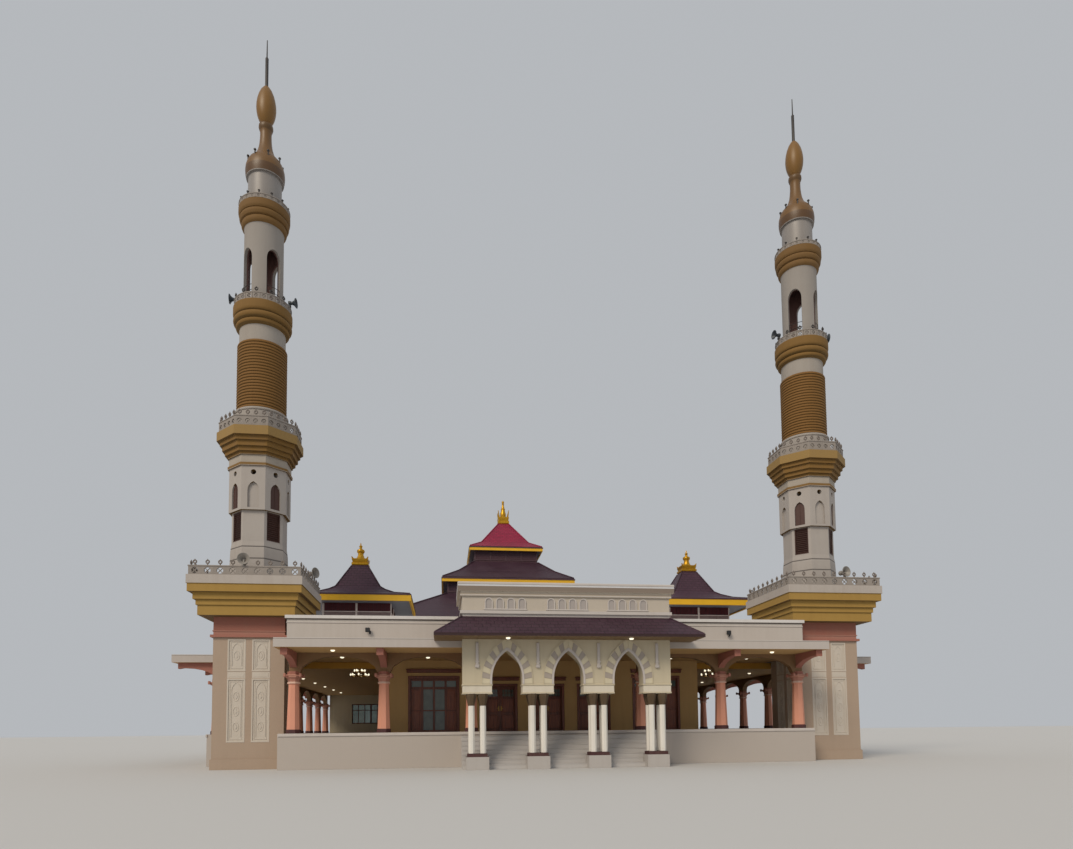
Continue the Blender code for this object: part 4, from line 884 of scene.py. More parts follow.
# Side and rear windows
# Timber windows with three lights and a transom fill the openings of the side walls, over pale cast
# sills. Two of them side by side fill each opening at the end of a side verandah.
repaint("hall_left_glass", window_glass)
repaint("hall_right_glass", window_glass)
window_half, window_foot, window_head = 0.80, 2.17, 3.87
hall_depth, window_line, rear_line, rear_window = 30.60, 7.05, 17.49, 11.03
window_bars = ((-window_half, -0.73, window_foot, window_head),
               (0.73, window_half, window_foot, window_head),
               (-window_half, window_half, window_foot, 2.25),
               (-window_half, window_half, 3.79, window_head), (-0.30, -0.24, window_foot, window_head),
               (0.24, 0.30, window_foot, window_head), (-window_half, window_half, 3.30, 3.36))
window = joined("window",
                [block("bar", (-0.05, a, low), (0.05, b, high), 0.01) for a, b, low, high in window_bars])
sill = block("sill", (-0.12, -0.88, 2.10), (0.16, 0.88, 2.168), 0.015)
frames, sills = [], []
for side in (-1, 1):
    for number in range(4):
        y = wall_face + hall_depth * (number + 0.5) / 4
        frames.append(copied(window, "window", (side * window_line, y, 0)))
        sills.append(copied(sill, "sill", (side * (window_line + 0.07), y, 0),
                            0.0 if side > 0 else math.pi))
for side in (-1, 1):
    for shift in (-window_half, window_half):
        x = side * rear_window + shift
        frames.append(copied(window, "window", (x, rear_line, 0), math.pi / 2))
        sills.append(copied(sill, "sill", (x, rear_line + 0.07, 0), math.pi / 2))
bpy.data.objects.remove(window)
bpy.data.objects.remove(sill)
settle(joined("side_window_frames", frames), timber)
settle(joined("window_sills", sills), white_paint)
rear_panes = [block("pane", (x - 1.58, rear_line - 0.004, 2.20), (x + 1.58, rear_line + 0.004, 3.84),
                    0.002)
              for x in (-rear_window, rear_window)]
settle(joined("rear_end_panes", rear_panes), window_glass)


# Finials
# The finials of the hall and the pavilions are spun metal under gold leaf, bolted to the tops of the
# roofs. Curled leaves rise at the corners of each crown, tall on the hall, round a stem of bells.
# Gold leaf drifts between bright and browner tones, in sheets 0.1 m across.
gilt = mottled("gold_leaf", "#94680F", "#E0AE2E", 9.0, 5.0, (0.28, 0.5), {"Metallic": 0.7})
for name in ("hall_finial", "left_pavilion_finial", "right_pavilion_finial"):
    repaint(name, gilt)


def spun(name, profile, sides, centre=(0, 0), turn=0.0):
    """A piece turned round an upright line from the outline of its section, as radii and heights."""
    x, y = centre
    radius, height = profile[0]
    piece = first_point(name, (x + radius, y, height))
    for (r0, z0), (r1, z1) in zip(profile, profile[1:]):
        bpy.ops.mesh.extrude_region_move(TRANSFORM_OT_translate={"value": (r1 - r0, 0, z1 - z0)})
    bpy.ops.mesh.select_all(action="SELECT")
    bpy.ops.mesh.spin(steps=sides, angle=2 * math.pi, center=(x, y, 0), axis=(0, 0, 1))
    bpy.ops.mesh.select_all(action="SELECT")
    bpy.ops.mesh.remove_doubles(threshold=0.0004)
    bpy.ops.mesh.normals_make_consistent(inside=False)
    put_away()
    if turn:
        turned(piece, centre, turn)
    return piece


hall_stem = [(0, 0.50), (0.25, 0.50), (0.27, 0.58), (0.22, 0.66), (0.235, 0.80), (0.23, 0.95),
             (0.17, 1.10), (0.15, 1.25), (0.11, 1.45), (0.08, 1.60), (0.07, 1.76), (0.095, 1.82),
             (0.10, 1.88), (0.08, 1.94), (0.03, 1.98), (0, 1.99)]
small_stem = [(0, 0.33), (0.24, 0.33), (0.26, 0.40), (0.23, 0.47), (0.16, 0.53), (0.145, 0.64),
              (0.15, 0.74), (0.195, 0.79), (0.21, 0.86), (0.19, 0.92), (0.10, 0.97), (0.06, 1.03),
              (0, 1.03)]
# Past its root a leaf's outline is given by how far it stands out and by shares of its height.
leaf_outline = ((0.03, 0.35), (0.055, 0.7), (0.06, 1.0), (0.01, 0.72), (-0.045, 0.42))
knobs = []
for centre, foot, crown, reach, high, stem in (
        (hall_centre, 17.91, 0.50, 0.53, 0.60, hall_stem),
        (pavilion_centres["left"], 10.42, 0.35, 0.55, 0.12, small_stem),
        (pavilion_centres["right"], 10.42, 0.35, 0.55, 0.12, small_stem)):
    top = foot + crown
    corners = [(reach - 0.14, -0.03, top - 0.03), (reach, -0.03, top - 0.03)]
    corners += [(reach + out, -0.03, top + share * high) for out, share in leaf_outline]
    for i in range(4):
        knobs.append(moved(traced("leaf", corners, (0, 0.06, 0)), (*centre, 0),
                           math.pi / 4 + math.pi / 2 * i))
    knobs.append(spun("stem", [(radius, foot + z) for radius, z in stem], 16, centre))
settle(joined("finial_crown_knobs", knobs), gilt)


# Pavilions
# Each roof-top pavilion is a small room with dark red timber boarding and pale lower panels, nailed
# between slim white posts and rails; the pale grey of the lower panels is a painted reflection of the
# sky on glazing. The two pavilions are alike on all four sides.
# Paint on the boards is smoother than the render's, so it has a slight gloss.
rail_foot, rail_top, post_foot, post_top = 6.42, 7.66, 5.01, 8.11
# The posts are painted whiter than the other white work, as painted light that keeps them bright in the
# shade of the eaves.
post_paint_with_painted_light = painted_render("pavilion_post_paint", [(0.0, "#F0E4DF")])
wall_paint = painted_render("pavilion_red_paint", [(0.0, "#5A1F29")], grime="#35131A", roughness=0.55)
# Below 7.68 m the boards are pale grey, a painted reflection of the sky; above it they are maroon.
board_paint_and_reflection = painted_render("pavilion_board_paint", [(0.0, "#94807F"), (7.68, "#4E1C26")],
                             grime="#35131A", roughness=0.55)
posts = [block("post", (x - 0.05, -1.78, post_foot), (x + 0.05, -1.71, post_top), 0.01)
         for x in (-1.67, 0.0)]
for low, high in ((rail_top, rail_top + 0.04), (rail_foot - 0.06, rail_foot)):
    posts.append(block("rail", (-1.72, -1.765, low), (1.72, -1.715, high), 0.01))
boards = [block("panel", (-1.70, -1.742, rail_foot), (1.70, -1.715, rail_top), 0.006)]
for number in range(16):
    if number not in (0, 8):
        x = -1.66 + 3.32 * number / 16
        boards.append(block("batten", (x - 0.02, -1.75, rail_foot), (x + 0.02, -1.715, post_top), 0.006))
posts, boards = joined("posts", posts), joined("boards", boards)
for word, centre in pavilion_centres.items():
    repaint(f"{word}_pavilion_walls", wall_paint)
    for part, side, paint, slot in (("posts", posts, post_paint_with_painted_light, "white"),
                                    ("boards", boards, board_paint_and_reflection, "maroon")):
        sides = [copied(side, part, (*centre, 0), math.pi / 2 * i) for i in range(4)]
        settle(joined(f"{word}_pavilion_{part}", sides), paint)
bpy.data.objects.remove(posts)
bpy.data.objects.remove(boards)


# Minaret bases
# Each minaret stands on a square base of rendered masonry. Cast relief panels are set into its
# faces: a moulded frame round a pointed arch, with ovals and leaves. Bands run round foot and top.
minaret = (-12.60, -13.76)


def pair(piece, material, node=None, angle=35):
    """Settles a piece of the left minaret and its copy on the right one, for the nodes they replace."""
    twin = copied(piece, piece.name.replace("left_", "right_"), (-2 * minaret[0], 0, 0))
    for word, one in (("left_", piece), ("right_", twin)):
        settle(one, material, angle=angle)
        if node:
            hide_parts(node.replace("left_", word))


def around(piece, count, first=0.0):
    """Copies of a piece made for the front of a tower at the origin, set round the left minaret."""
    turns = [first + 2 * math.pi * i / count for i in range(count)]
    made = [copied(piece, piece.name, (*minaret, 0), turn) for turn in turns]
    bpy.data.objects.remove(piece)
    return made


# From 5.64 m the pink is painted darker as the gallery's shade on it, and the under tone is painted shade
# on the undersides.
base_tones = [(4.8, "#AA9684"), (5.36, "#A0695B"), (5.463, "#AB796A"), (5.64, "#9C6455")]
base_paint = painted_render("minaret_base_paint", base_tones, under="#8F5A4C")
repaint("left_minaret_base", base_paint)
repaint("right_minaret_base", base_paint)
base_face, panel_line, cast_half = -1.36, 0.48, 0.36
relief = []
for low, high, ovals in ((1.10, 3.67, (2.95, 2.35, 1.72)), (3.98, 5.28, (4.62,))):
    for middle in (-panel_line, panel_line):
        left, right = middle - cast_half, middle + cast_half
        relief.append(block("ground", (left + 0.015, -1.375, low + 0.005),
                            (right - 0.015, -1.345, high - 0.005), 0.004))
        for inset, size, face in ((0.0, 0.065, -1.412), (0.11, 0.03, -1.392)):
            a, b, foot, head = left + inset, right - inset, low - 0.01 + inset, high + 0.01 - inset
            for z in (foot, head - size):
                relief.append(block("rail", (a, face, z), (b, base_face, z + size), 0.008))
            for x0, x1 in ((a + 0.004, a + size), (b - size, b - 0.004)):
                relief.append(block("stile", (x0, face + 0.004, foot + 0.02),
                                    (x1, base_face, head - 0.02), 0.008))
        relief.append(arch_band("arch", middle, -1.392, (0.17, low + 0.22, high - 0.46, high - 0.17, 6),
                                (0.20, low + 0.22, high - 0.46, high - 0.13, 6), 0.03))
        for z in ovals:
            put_away()
            bpy.ops.mesh.primitive_torus_add(major_segments=20, minor_segments=6, major_radius=0.12,
                                             minor_radius=0.016, location=(middle, -1.376, z),
                                             rotation=(math.pi / 2, 0, 0))
            oval = bpy.context.object
            oval.scale = (0.9, 1.5, 1.0)
            bpy.ops.object.transform_apply(location=True, rotation=True, scale=True)
            diamond = [(middle + u, -1.39, z + v) for u,
                       v in ((0, -0.11), (0.05, 0), (0, 0.11), (-0.05, 0))]
            relief += [oval, traced("leaf", diamond, (0, 0.03, 0))]
for middle in (-panel_line, panel_line):
    relief.append(block("bridge", (middle - 0.352, -1.402, 3.70), (middle + 0.352, base_face, 3.95),
                        0.004))
    relief.append(block("field", (middle - 0.30, -1.410, 3.75), (middle + 0.30, -1.40, 3.90), 0.006))
relief = joined("left_minaret_relief", around(joined("relief", relief), 4))
# Cast panels are a warmer white than the walls, with brown dirt in patches and rain streaks.
cast_paint = painted_render("cast_panel_paint", [(0.0, "#C6BDB1")], grime="#9A8B76")
pair(relief, cast_paint)
base_bands = [square_frame("band", minaret, 1.43, 5.60, 5.64, 0.03),
              square_frame("plinth", minaret, 1.45, 0.0, 0.42, 0.05)]
pair(joined("left_minaret_base_bands", base_bands), base_paint, angle=0)


# Minaret galleries
# A square gallery is corbelled out over each base in ochre under a white band. Its pierced rail is
# cast stone, left grey, with a mitred cap and a row of iron loops on stems.
def taken(node, name):
    """A copy of a CAD solid with its doubles merged, ready to be worked on."""
    piece = bpy.data.objects.new(name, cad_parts[node].data.copy())
    scene.collection.objects.link(piece)
    take_up(piece)
    bpy.ops.mesh.remove_doubles(threshold=0.0002)
    bpy.ops.mesh.dissolve_limited(angle_limit=math.radians(1))
    put_away()
    return piece


def lowered(piece, height):
    """Cuts a piece off level at a height and closes it."""
    take_up(piece)
    bpy.ops.mesh.bisect(plane_co=(0, 0, height), plane_no=(0, 0, 1), use_fill=True, clear_outer=True)
    put_away()
    return piece


def pierced(piece, *cutters):
    """Cuts other pieces out of one and throws them away."""
    for cutter in cutters:
        put_away()
        bpy.context.view_layer.objects.active = piece
        cut = piece.modifiers.new("cut", "BOOLEAN")
        cut.operation, cut.solver, cut.object = "DIFFERENCE", "EXACT", cutter
        bpy.ops.object.modifier_apply(modifier="cut")
        bpy.data.objects.remove(cutter)
    return piece


def in_a_row(name, piece, pitch, count):
    """A row of copies of a piece along the front of a tower at the origin."""
    row = [copied(piece, name, (pitch * (i - (count - 1) / 2), 0, 0)) for i in range(count)]
    bpy.data.objects.remove(piece)
    return joined(name, row)


def balustrade(pitch, count, half, low, high, hole, thick=0.07):
    """One side of a pierced rail: panels with a round hole and a saltire."""
    middle = (low + high) / 2
    panel = block("panel", (-pitch / 2 - 0.002, -half - thick, low), (pitch / 2 + 0.002, -half, high),
                  0.004)
    put_away()
    bpy.ops.mesh.primitive_cylinder_add(vertices=12, radius=hole, depth=0.4, location=(0, -half, middle),
                                        rotation=(math.pi / 2, 0, 0))
    drill = bpy.context.object
    bpy.ops.object.transform_apply(location=True, rotation=True, scale=True)
    parts = [pierced(panel, drill)]
    for lean in (-math.pi / 4, math.pi / 4):
        bar = block("bar", (-hole, -half - thick * 0.75, -0.016), (hole, -half - thick * 0.25, 0.016),
                    0.004)
        parts.append(moved(bar, (0, 0, middle), lean, "Y"))
    return in_a_row("rail", joined("panel", parts), pitch, count)


def cap_rail(sides, half, low, thick=0.07):
    """One mitred cap that runs round a rail of so many sides."""
    a, b = [r / math.cos(math.pi / sides) for r in (half - 0.02, half + thick + 0.02)]
    section = [(a, low), (b, low), (b, low + 0.033), (b - 0.012, low + 0.045), (a + 0.012, low + 0.045),
               (a, low + 0.033), (a, low)]
    return spun("cap_rail", section, sides, minaret, math.pi / sides)


def loop_finials(pitch, count, half, foot, size):
    """A row of small rings on stems, which stand on a rail's posts."""
    put_away()
    bpy.ops.mesh.primitive_torus_add(major_segments=10, minor_segments=5, major_radius=size * 0.27,
                                     minor_radius=size * 0.14, location=(0, -half, foot + size * 0.62),
                                     rotation=(math.pi / 2, 0, 0))
    parts = [bpy.context.object]
    bpy.ops.object.transform_apply(location=True, rotation=True, scale=True)
    stem, tip = size * 0.10, size * 0.07
    parts.append(block("stem", (-stem, -half - stem, foot - 0.01),
                       (stem, -half + stem, foot + size * 0.30), 0.006))
    parts.append(block("tip", (-tip, -half - tip, foot + size * 0.98),
                       (tip, -half + tip, foot + size * 1.15), 0.01))
    return in_a_row("loops", joined("loop", parts), pitch, count)


gallery_floor, gallery_rail = 7.775, 8.11
# The under tone is painted shade under the corbels.
gallery_paint = painted_render("minaret_gallery_paint", [(5.9, "#A28140"), (7.415, "#B1A9A2")],
                               under="#6E5530", grime="#6B4A22")
# Cast stone is rough and blotched by rain. The iron is painted, nearly smooth, grey or near black.
cast_stone = painted_render("cast_stone", [(0.0, "#948C85")], grime="#77706A", stain=0.3, grain=0.9)
dark_iron = painted_render("dark_cast_iron_paint", [(0.0, "#3A3533")], grime="#3A3634", roughness=0.5)
grey_iron = painted_render("grey_cast_iron_paint", [(0.0, "#7A7069")], grime="#4A4541", roughness=0.6)
gallery = lowered(taken("left_minaret_gallery", "left_gallery_body"), gallery_floor)
pair(gallery, gallery_paint, "left_minaret_gallery", angle=0)
rail = around(balustrade(0.48, 9, 2.09, gallery_floor, gallery_rail, 0.13),
              4) + [cap_rail(4, 2.09, gallery_rail)]
pair(joined("left_gallery_rail", rail), cast_stone)
loops = around(loop_finials(0.48, 9, 2.125, gallery_rail + 0.045, 0.22), 4)
pair(joined("left_gallery_loops", loops), grey_iron)


# Minaret towers
# The eight-sided tower is white rendered masonry with brown timber louvres below, pointed windows
# and round vents above, and a corbelled ochre gallery at its top.
tower_floor, tower_rail = 14.185, 14.59
# The whites and ochres are painted greyer and darker than the paint is, as painted shade on the upper
# stages. The thin dark bands at 8.68 and 9.20 m are painted shade in place of grooves, and the under tone
# is painted shade under the corbels.
tower_tones = [(8.0, "#AAA39D"), (8.68, "#67625F"), (8.73, "#AAA39D"), (9.20, "#67625F"),
               (9.25, "#AAA39D"), (12.645, "#7E5F30"), (12.762, "#A79E92"), (13.105, "#7E5D28"),
               (13.802, "#957845"), (tower_floor, "#958E88")]
tower_paint = painted_render("minaret_octagon_paint", tower_tones, under="#6E5428", grime="#77675A")
tower = lowered(taken("left_minaret_octagon", "left_octagon_body"), tower_floor)
vents = []
for i in range(4):
    put_away()
    bpy.ops.mesh.primitive_cylinder_add(vertices=20, radius=0.11, depth=3.0, location=(*minaret, 12.37),
                                        rotation=(math.pi / 2, 0, math.pi / 4 * i))
    vents.append(bpy.context.object)
    bpy.ops.object.transform_apply(location=True, rotation=True, scale=True)
pair(pierced(tower, *vents), tower_paint, "left_minaret_octagon", angle=0)
rail = around(balustrade(0.325, 4, 1.50, tower_floor, tower_rail, 0.10),
              8) + [cap_rail(8, 1.50, tower_rail)]
pair(joined("left_octagon_rail", rail), cast_stone)
loops = around(loop_finials(0.325, 4, 1.54, tower_rail + 0.045, 0.22), 8)
pair(joined("left_octagon_loops", loops), grey_iron)


def arched_block(name, half, foot, spring, rise, steps, face, deep):
    """A block with a tall rounded head, drawn at its face. The last step to the top is a short one."""
    turns = [1.5 * i / steps for i in range(steps)] + [math.pi / 2]
    right = [(half, foot)] + [(half * math.cos(t), spring + rise * math.sin(t)) for t in turns]
    outline = [(u, face, z) for u, z in right] + [(-u, face, z) for u, z in reversed(right[:-1])]
    return traced(name, outline, (0, deep, 0))


# The louvre slats lean out by 38 degrees and are painted a dull dark brown.
louvre_paint = painted_render("brown_louvre_paint", [(0.0, "#4A2E26")], grime="#2E1B16", roughness=0.55)
slats = [block("slat_back", (-0.305, -0.955, 9.53), (0.305, -0.94, 10.73), 0.003)]
for number in range(13):
    slat = block("slat", (-0.30, -0.035, -0.006), (0.30, 0.035, 0.006), 0.002)
    slats.append(moved(slat, (0, -0.985, 9.60 + 1.06 * number / 12), math.radians(-38), "X"))
for x0, x1, low, high in ((-0.308, -0.27, 9.525, 10.735), (0.27, 0.308, 9.525, 10.735),
                          (-0.308, 0.308, 9.525, 9.57), (-0.308, 0.308, 10.69, 10.735)):
    slats.append(block("slat_frame", (x0, -1.03, low), (x1, -0.95, high), 0.006))
slats.append(arched_block("window_fill", 0.225, 10.875, 11.625, 0.34, 5, -1.10, 0.03))
slats.append(block("window_bar", (-0.012, -1.115, 10.88), (0.012, -1.09, 11.90), 0.004))
pair(joined("left_octagon_louvres", around(joined("slats", slats), 4, math.pi / 4)), louvre_paint)


# Minaret shafts
# The round shaft is masonry with 23 cast ribs in ochre, then a white collar and a corbelled balcony
# with a pierced rail.
# The whites and ochres are painted darker than the paint is, as painted shade on the upper stages, and
# the under tone is painted shade under the balcony and the beads.
shaft_tones = [(14.5, "#A69F98"), (15.245, "#7F5A29"), (18.235, "#9F9890"), (18.935, "#7E5E2C"),
               (19.915, "#8C857E")]
shaft_paint = painted_render("minaret_shaft_paint", shaft_tones, under="#6E5428", grime="#5E4526")
balcony_floor, balcony_rail, shaft_foot = 19.92, 20.18, 14.0503
top_rib, rib_pitch, rib_count = 18.23, 0.13, 23
rib = ((0.985, 0), (1.022, -0.022), (1.032, -0.055), (1.022, -0.090), (0.985, -0.112))
balcony = [(1.13, balcony_floor), (1.20, balcony_floor), (1.225, 19.90), (1.225, 19.60), (1.21, 19.53),
           (1.17, 19.475)]
bead = [(1.12, 19.455), (1.175, 19.425), (1.208, 19.38), (1.215, 19.32), (1.20, 19.25), (1.15, 19.195),
        (1.06, 19.17)]
small_bead = [(1.095, 19.14), (1.11, 19.09), (1.10, 19.03), (1.06, 18.985), (0.99, 18.965),
              (0.955, 18.93), (0.955, 18.25)]
ribs = [(radius, top_rib - rib_pitch * number + drop) for number in range(rib_count) for radius,
        drop in rib]
foot_ring = [(1.03, 15.235), (1.085, 15.235), (1.11, 15.205), (1.11, 15.15), (1.085, 15.12),
             (1.07, 15.12)]
hollow = [(1.07, shaft_foot), (0.74, shaft_foot), (0.74, 19.80), (1.13, 19.80), (1.13, balcony_floor)]
shaft = spun("left_ribbed_shaft", balcony + bead + small_bead + ribs + foot_ring + hollow, 64, minaret)
pair(shaft, shaft_paint, "left_minaret_ribbed_shaft", angle=40)
rail = around(balustrade(0.29, 1, 1.125, balcony_floor, balcony_rail, 0.085, 0.05), 24)
pair(joined("left_balcony_rail", rail + [cap_rail(48, 1.125, balcony_rail, 0.05)]), cast_stone)
loops = around(loop_finials(0.29, 1, 1.15, balcony_rail + 0.04, 0.21), 12)
pair(joined("left_balcony_loops", loops), dark_iron)


# Minaret lanterns
# The lantern is a white rendered drum with four tall pointed openings under a second corbelled
# balcony. Two iron hoops guard the openings, a mast stands inside, and studs stand on the balcony.
# The whites and ochres are painted darker than the paint is, as painted shade on the upper stages.
lantern_tones = [(21.5, "#97918B"), (23.575, "#75562A"), (24.515, "#857A6C")]
lantern_paint = painted_render("minaret_lantern_paint", lantern_tones, room=(minaret, 0.70, "#6A4C47"),
                               grime="#77675A")
drum_foot, drum_ceiling, lantern_floor = 19.8003, 24.00, 24.45
corbels = [(1.03, 24.745), (1.045, 24.73), (1.045, 24.52), (1.08, 24.51), (1.08, 24.28), (1.07, 24.22),
           (1.03, 24.165), (0.985, 24.15), (1.02, 24.125), (1.04, 24.07), (1.03, 23.99), (0.985, 23.91),
           (0.90, 23.875), (0.935, 23.845), (0.95, 23.79), (0.945, 23.72), (0.92, 23.65), (0.87, 23.60),
           (0.835, 23.58)]
wall = [(0.822, 23.50), (0.822, drum_foot), (0.64, drum_foot), (0.64, drum_ceiling), (0.0, drum_ceiling)]
deck = [(0, drum_ceiling), (0, lantern_floor), (0.96, lantern_floor), (0.96, 24.745), (1.03, 24.745)]
drum = joined("left_lantern_drum",
              [spun("drum", corbels + wall, 64, minaret), spun("deck", deck, 64, minaret)])
take_up(drum)
bpy.ops.mesh.remove_doubles(threshold=0.0004)
bpy.ops.mesh.normals_make_consistent(inside=False)
put_away()
openings = [moved(arched_block("opening", 0.32, 20.05, 22.04, 0.48, 6, -1.5, 3.0), (*minaret, 0), turn)
            for turn in (math.pi / 4, -math.pi / 4)]
pair(pierced(drum, *openings), lantern_paint, "left_minaret_lantern")
studs = [block("stud", (-0.03, -1.03, 24.74), (0.03, -0.97, 24.86), 0.012),
         block("stud_cap", (-0.045, -1.045, 24.86), (0.045, -0.955, 24.90), 0.01)]
pair(joined("left_lantern_studs", around(joined("studs", studs), 12)), dark_iron)
rail = around(balustrade(0.271, 1, 1.03, 24.53, 24.69, 0.055, 0.03), 24)
pair(joined("left_lantern_rail", rail + [cap_rail(48, 1.03, 24.69, 0.03)]), cast_stone)
guards = []
for z in (20.55, 20.80):
    section = [(0.80, z), (0.815, z + 0.015), (0.80, z + 0.03), (0.785, z + 0.015), (0.80, z)]
    guards.append(spun("guard", section, 40, minaret))
mast = [(0.0, drum_ceiling), (0.035, drum_ceiling), (0.035, 19.80), (0.0, 19.80)]
guards.append(spun("mast", mast, 12, (minaret[0] + 0.12, minaret[1] - 0.05)))
pair(joined("left_lantern_guards", guards), dark_iron)


# Minaret spires
# The spire is a white drum under an onion cap and an egg, both spun metal painted ochre, with a dark
# rod at the top. Small iron knobs stand round the onion.
# The white of the drum and the ochres are painted darker than the paint is, as painted shade on the upper
# stages, darkest at the onion's foot as the shade under its bulge.
spire_tones = [(25.0, "#8E8985"), (26.025, "#5A3F22"), (26.40, "#705026"), (28.395, "#5F441F"),
               (28.69, "#7E5A22"), (30.55, "#2E2A28")]
spire_paint = painted_render("minaret_spire_paint", spire_tones, grime="#5E3E1C", roughness=0.45)
rod = [(0.0, 32.80), (0.02, 32.80), (0.03, 31.98), (0.07, 31.92), (0.07, 30.57)]
egg = [(0.14, 30.50), (0.24, 30.34), (0.33, 30.12), (0.385, 29.90), (0.415, 29.70), (0.425, 29.50),
       (0.41, 29.30), (0.37, 29.10), (0.31, 28.93), (0.24, 28.81), (0.19, 28.74)]
neck = [(0.27, 28.71), (0.305, 28.65), (0.31, 28.55), (0.28, 28.45), (0.25, 28.40), (0.242, 28.22),
        (0.248, 28.02), (0.27, 27.77), (0.30, 27.58), (0.35, 27.40), (0.42, 27.23), (0.50, 27.11)]
onion = [(0.60, 27.00), (0.70, 26.88), (0.775, 26.73), (0.82, 26.56), (0.836, 26.38), (0.825, 26.20),
         (0.79, 26.02)]
spire_drum = [(0.707, 26.02), (0.707, lantern_floor + seam), (0.50, lantern_floor + seam), (0.50, 26.00),
              (0.0, 26.00)]
spire = spun("left_onion_spire", rod + egg + neck + onion + spire_drum, 48, minaret)
pair(spire, spire_paint, "left_minaret_spire", angle=40)
knob = [block("knob_stem", (-0.025, -0.755, 26.70), (0.025, -0.705, 26.95), 0.008),
        block("knob_head", (-0.05, -0.78, 26.95), (0.05, -0.68, 27.03), 0.02)]
pair(joined("left_onion_knobs", around(joined("knob", knob), 8, math.pi / 8)), dark_iron)


# Loudspeakers
# Horn loudspeakers are pressed metal in matt enamel, dark on the balconies and grey on the
# galleries. Each is bolted to an arm on the rail.
horn_enamel = painted_render("horn_enamel", [(0.0, "#8F8A84")], grime="#5A5550", roughness=0.45)
dark_horn_enamel = painted_render("dark_horn_enamel", [(0.0, "#3B434B")], grime="#2A2F34", roughness=0.45)
horn_section = [(0, -0.62), (0.20, -0.62), (0.22, -0.58), (0.22, -0.40), (0.16, -0.35), (0.17, -0.20),
                (0.24, -0.06), (0.36, 0.05), (0.48, 0.12), (0.50, 0.16), (0.50, 0.19), (0.47, 0.19),
                (0.33, 0.05), (0.20, -0.10), (0.13, -0.26), (0, -0.26)]


def horn(at, aim, size):
    """A flared horn on its driver, spun upright, sized and turned to face along its aim."""
    piece = spun("horn", horn_section, 24)
    turn = Vector(aim).to_track_quat("Z", "Y").to_matrix().to_4x4()
    piece.data.transform(Matrix.Translation(at) @ turn @ Matrix.Scale(size, 4))
    return piece


x, y = minaret
horns = []
for side in (-1, 1):
    arm = x + side * 1.12
    horns += [horn((x + side * 1.34, y - 0.05, 20.48), (side, -0.1, 0.0), 0.42),
              block("arm", (arm - 0.04, y - 0.07, 20.17), (arm + 0.04, y + 0.01, 20.42), 0.01)]
pair(joined("left_balcony_horns", horns), dark_horn_enamel)
horns = []
for at, aim in (((x - 0.06, y - 2.18, 8.42), (0.1, -1, 0.05)),
                ((x + 2.18, y + 0.62, 8.52), (0.85, -0.5, 0.05)),
                ((-x + 0.55, y - 2.10, 8.40), (0.3, -1, 0.05))):
    horns += [horn(at, aim, 0.48),
              block("arm", (at[0] - 0.03, at[1] - 0.01, 8.12), (at[0] + 0.03, at[1] + 0.12, 8.40), 0.01)]
settle(joined("gallery_horns", horns), horn_enamel)


# Floodlights and ceiling lamps
# Two small floodlights in black enamel are bracketed to the parapets. Round lamps of frosted glass
# are screwed to the soffits, and glow a little, as opal glass does by day.
floods = []
for x in (-7.77, 7.49):
    floods += [block("arm", (x - 0.03, -16.10, 5.56), (x + 0.03, -15.97, 5.60), 0.008),
               block("body", (x - 0.09, -16.20, 5.48), (x + 0.09, -16.08, 5.66), 0.02),
               block("foot", (x + 0.05, -16.03, 5.42), (x + 0.11, -15.97, 5.56), 0.01)]
black_enamel = painted_render("lamp_housing_enamel", [(0.0, "#232324")], grime="#3A3A3A", roughness=0.4)
settle(joined("parapet_floodlights", floods), black_enamel)
lamp_glass = mottled("frosted_lamp_glass", "#F3E7C4", "#FFF8E4", 25.0, 3.0, (0.5,),
                     {"Emission Strength": 1.2})
ceiling, porch_ceiling = 4.648, 4.90
lamp_section = [(0, -0.06), (0.045, -0.055), (0.075, -0.04), (0.085, -0.012), (0.085, 0.0), (0, 0.0)]
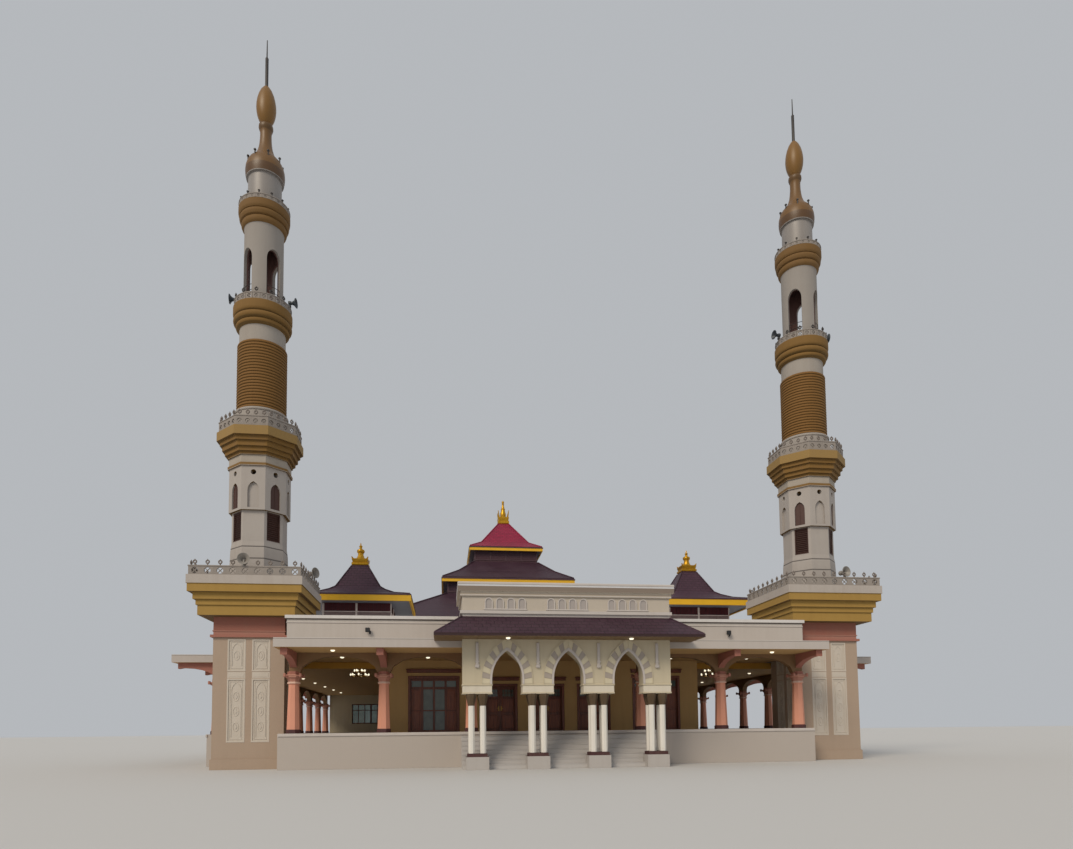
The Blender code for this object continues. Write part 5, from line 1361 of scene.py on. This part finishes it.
spots = [(x, -9.8 + 3.8 * i, ceiling) for x in (-12.95, 12.95) for i in range(7)]
spots += [(x, -14.45, ceiling) for x in (-9.0, -5.4, -1.2, 1.2, 5.4, 9.0)]
spots += [(x, -19.12, porch_ceiling) for x in (-2.35, 2.35)] + [(x, -17.0, ceiling) for x in (-9.0, 9.0)]
lamps = [spun("lamp", [(radius, top + z) for radius, z in lamp_section], 16, (x, y)) for x, y,
         top in spots]
settle(joined("ceiling_lamps", lamps), lamp_glass)


# Corner beams and chandeliers
# An ochre beam crosses the ceiling at each corner of the verandah. A brass chandelier hangs on a rod
# near by, with bulbs of frosted glass on the arms of its two hoops.
ochre_paint = painted_render("ochre_beam_paint", [(0.0, "#B98A34")], grime="#7A5A24")
beams = [block("beam", (side * 7.22, -12.10, 4.36), (side * 14.66, -11.90, ceiling - 0.001), 0.015)
         for side in (-1, 1)]
settle(joined("verandah_corner_beams", beams), ochre_paint)
rod_section = [(0, ceiling), (0.10, ceiling), (0.10, 4.60), (0.015, 4.58), (0.015, 4.22), (0.05, 4.2),
               (0.05, 4.12), (0, 4.10)]
metalwork, bulbs = [], []
for x in (-8.72, 8.72):
    centre = (x, -10.6)
    metalwork.append(spun("rod", rod_section, 10, centre))
    for radius, z, count in ((0.42, 4.12, 8), (0.24, 4.32, 6)):
        section = [(radius, z), (radius + 0.015, z + 0.015), (radius, z + 0.03),
                   (radius - 0.015, z + 0.015), (radius, z)]
        metalwork.append(spun("hoop", section, 24, centre))
        bulb_section = [(0, z + 0.02), (0.02, z + 0.03), (0.04, z + 0.07), (0.035, z + 0.11),
                        (0, z + 0.14)]
        for number in range(count):
            turn = 2 * math.pi * number / count
            arm = block("arm", (0, -0.008, z + 0.007), (radius, 0.008, z + 0.023), 0.003)
            metalwork.append(moved(arm, (*centre, 0), turn))
            at = (centre[0] + radius * math.cos(turn), centre[1] + radius * math.sin(turn))
            bulbs.append(spun("bulb", bulb_section, 8, at))
settle(joined("chandelier_frames", metalwork), brass)
settle(joined("chandelier_bulbs", bulbs), lamp_glass)


put_away()
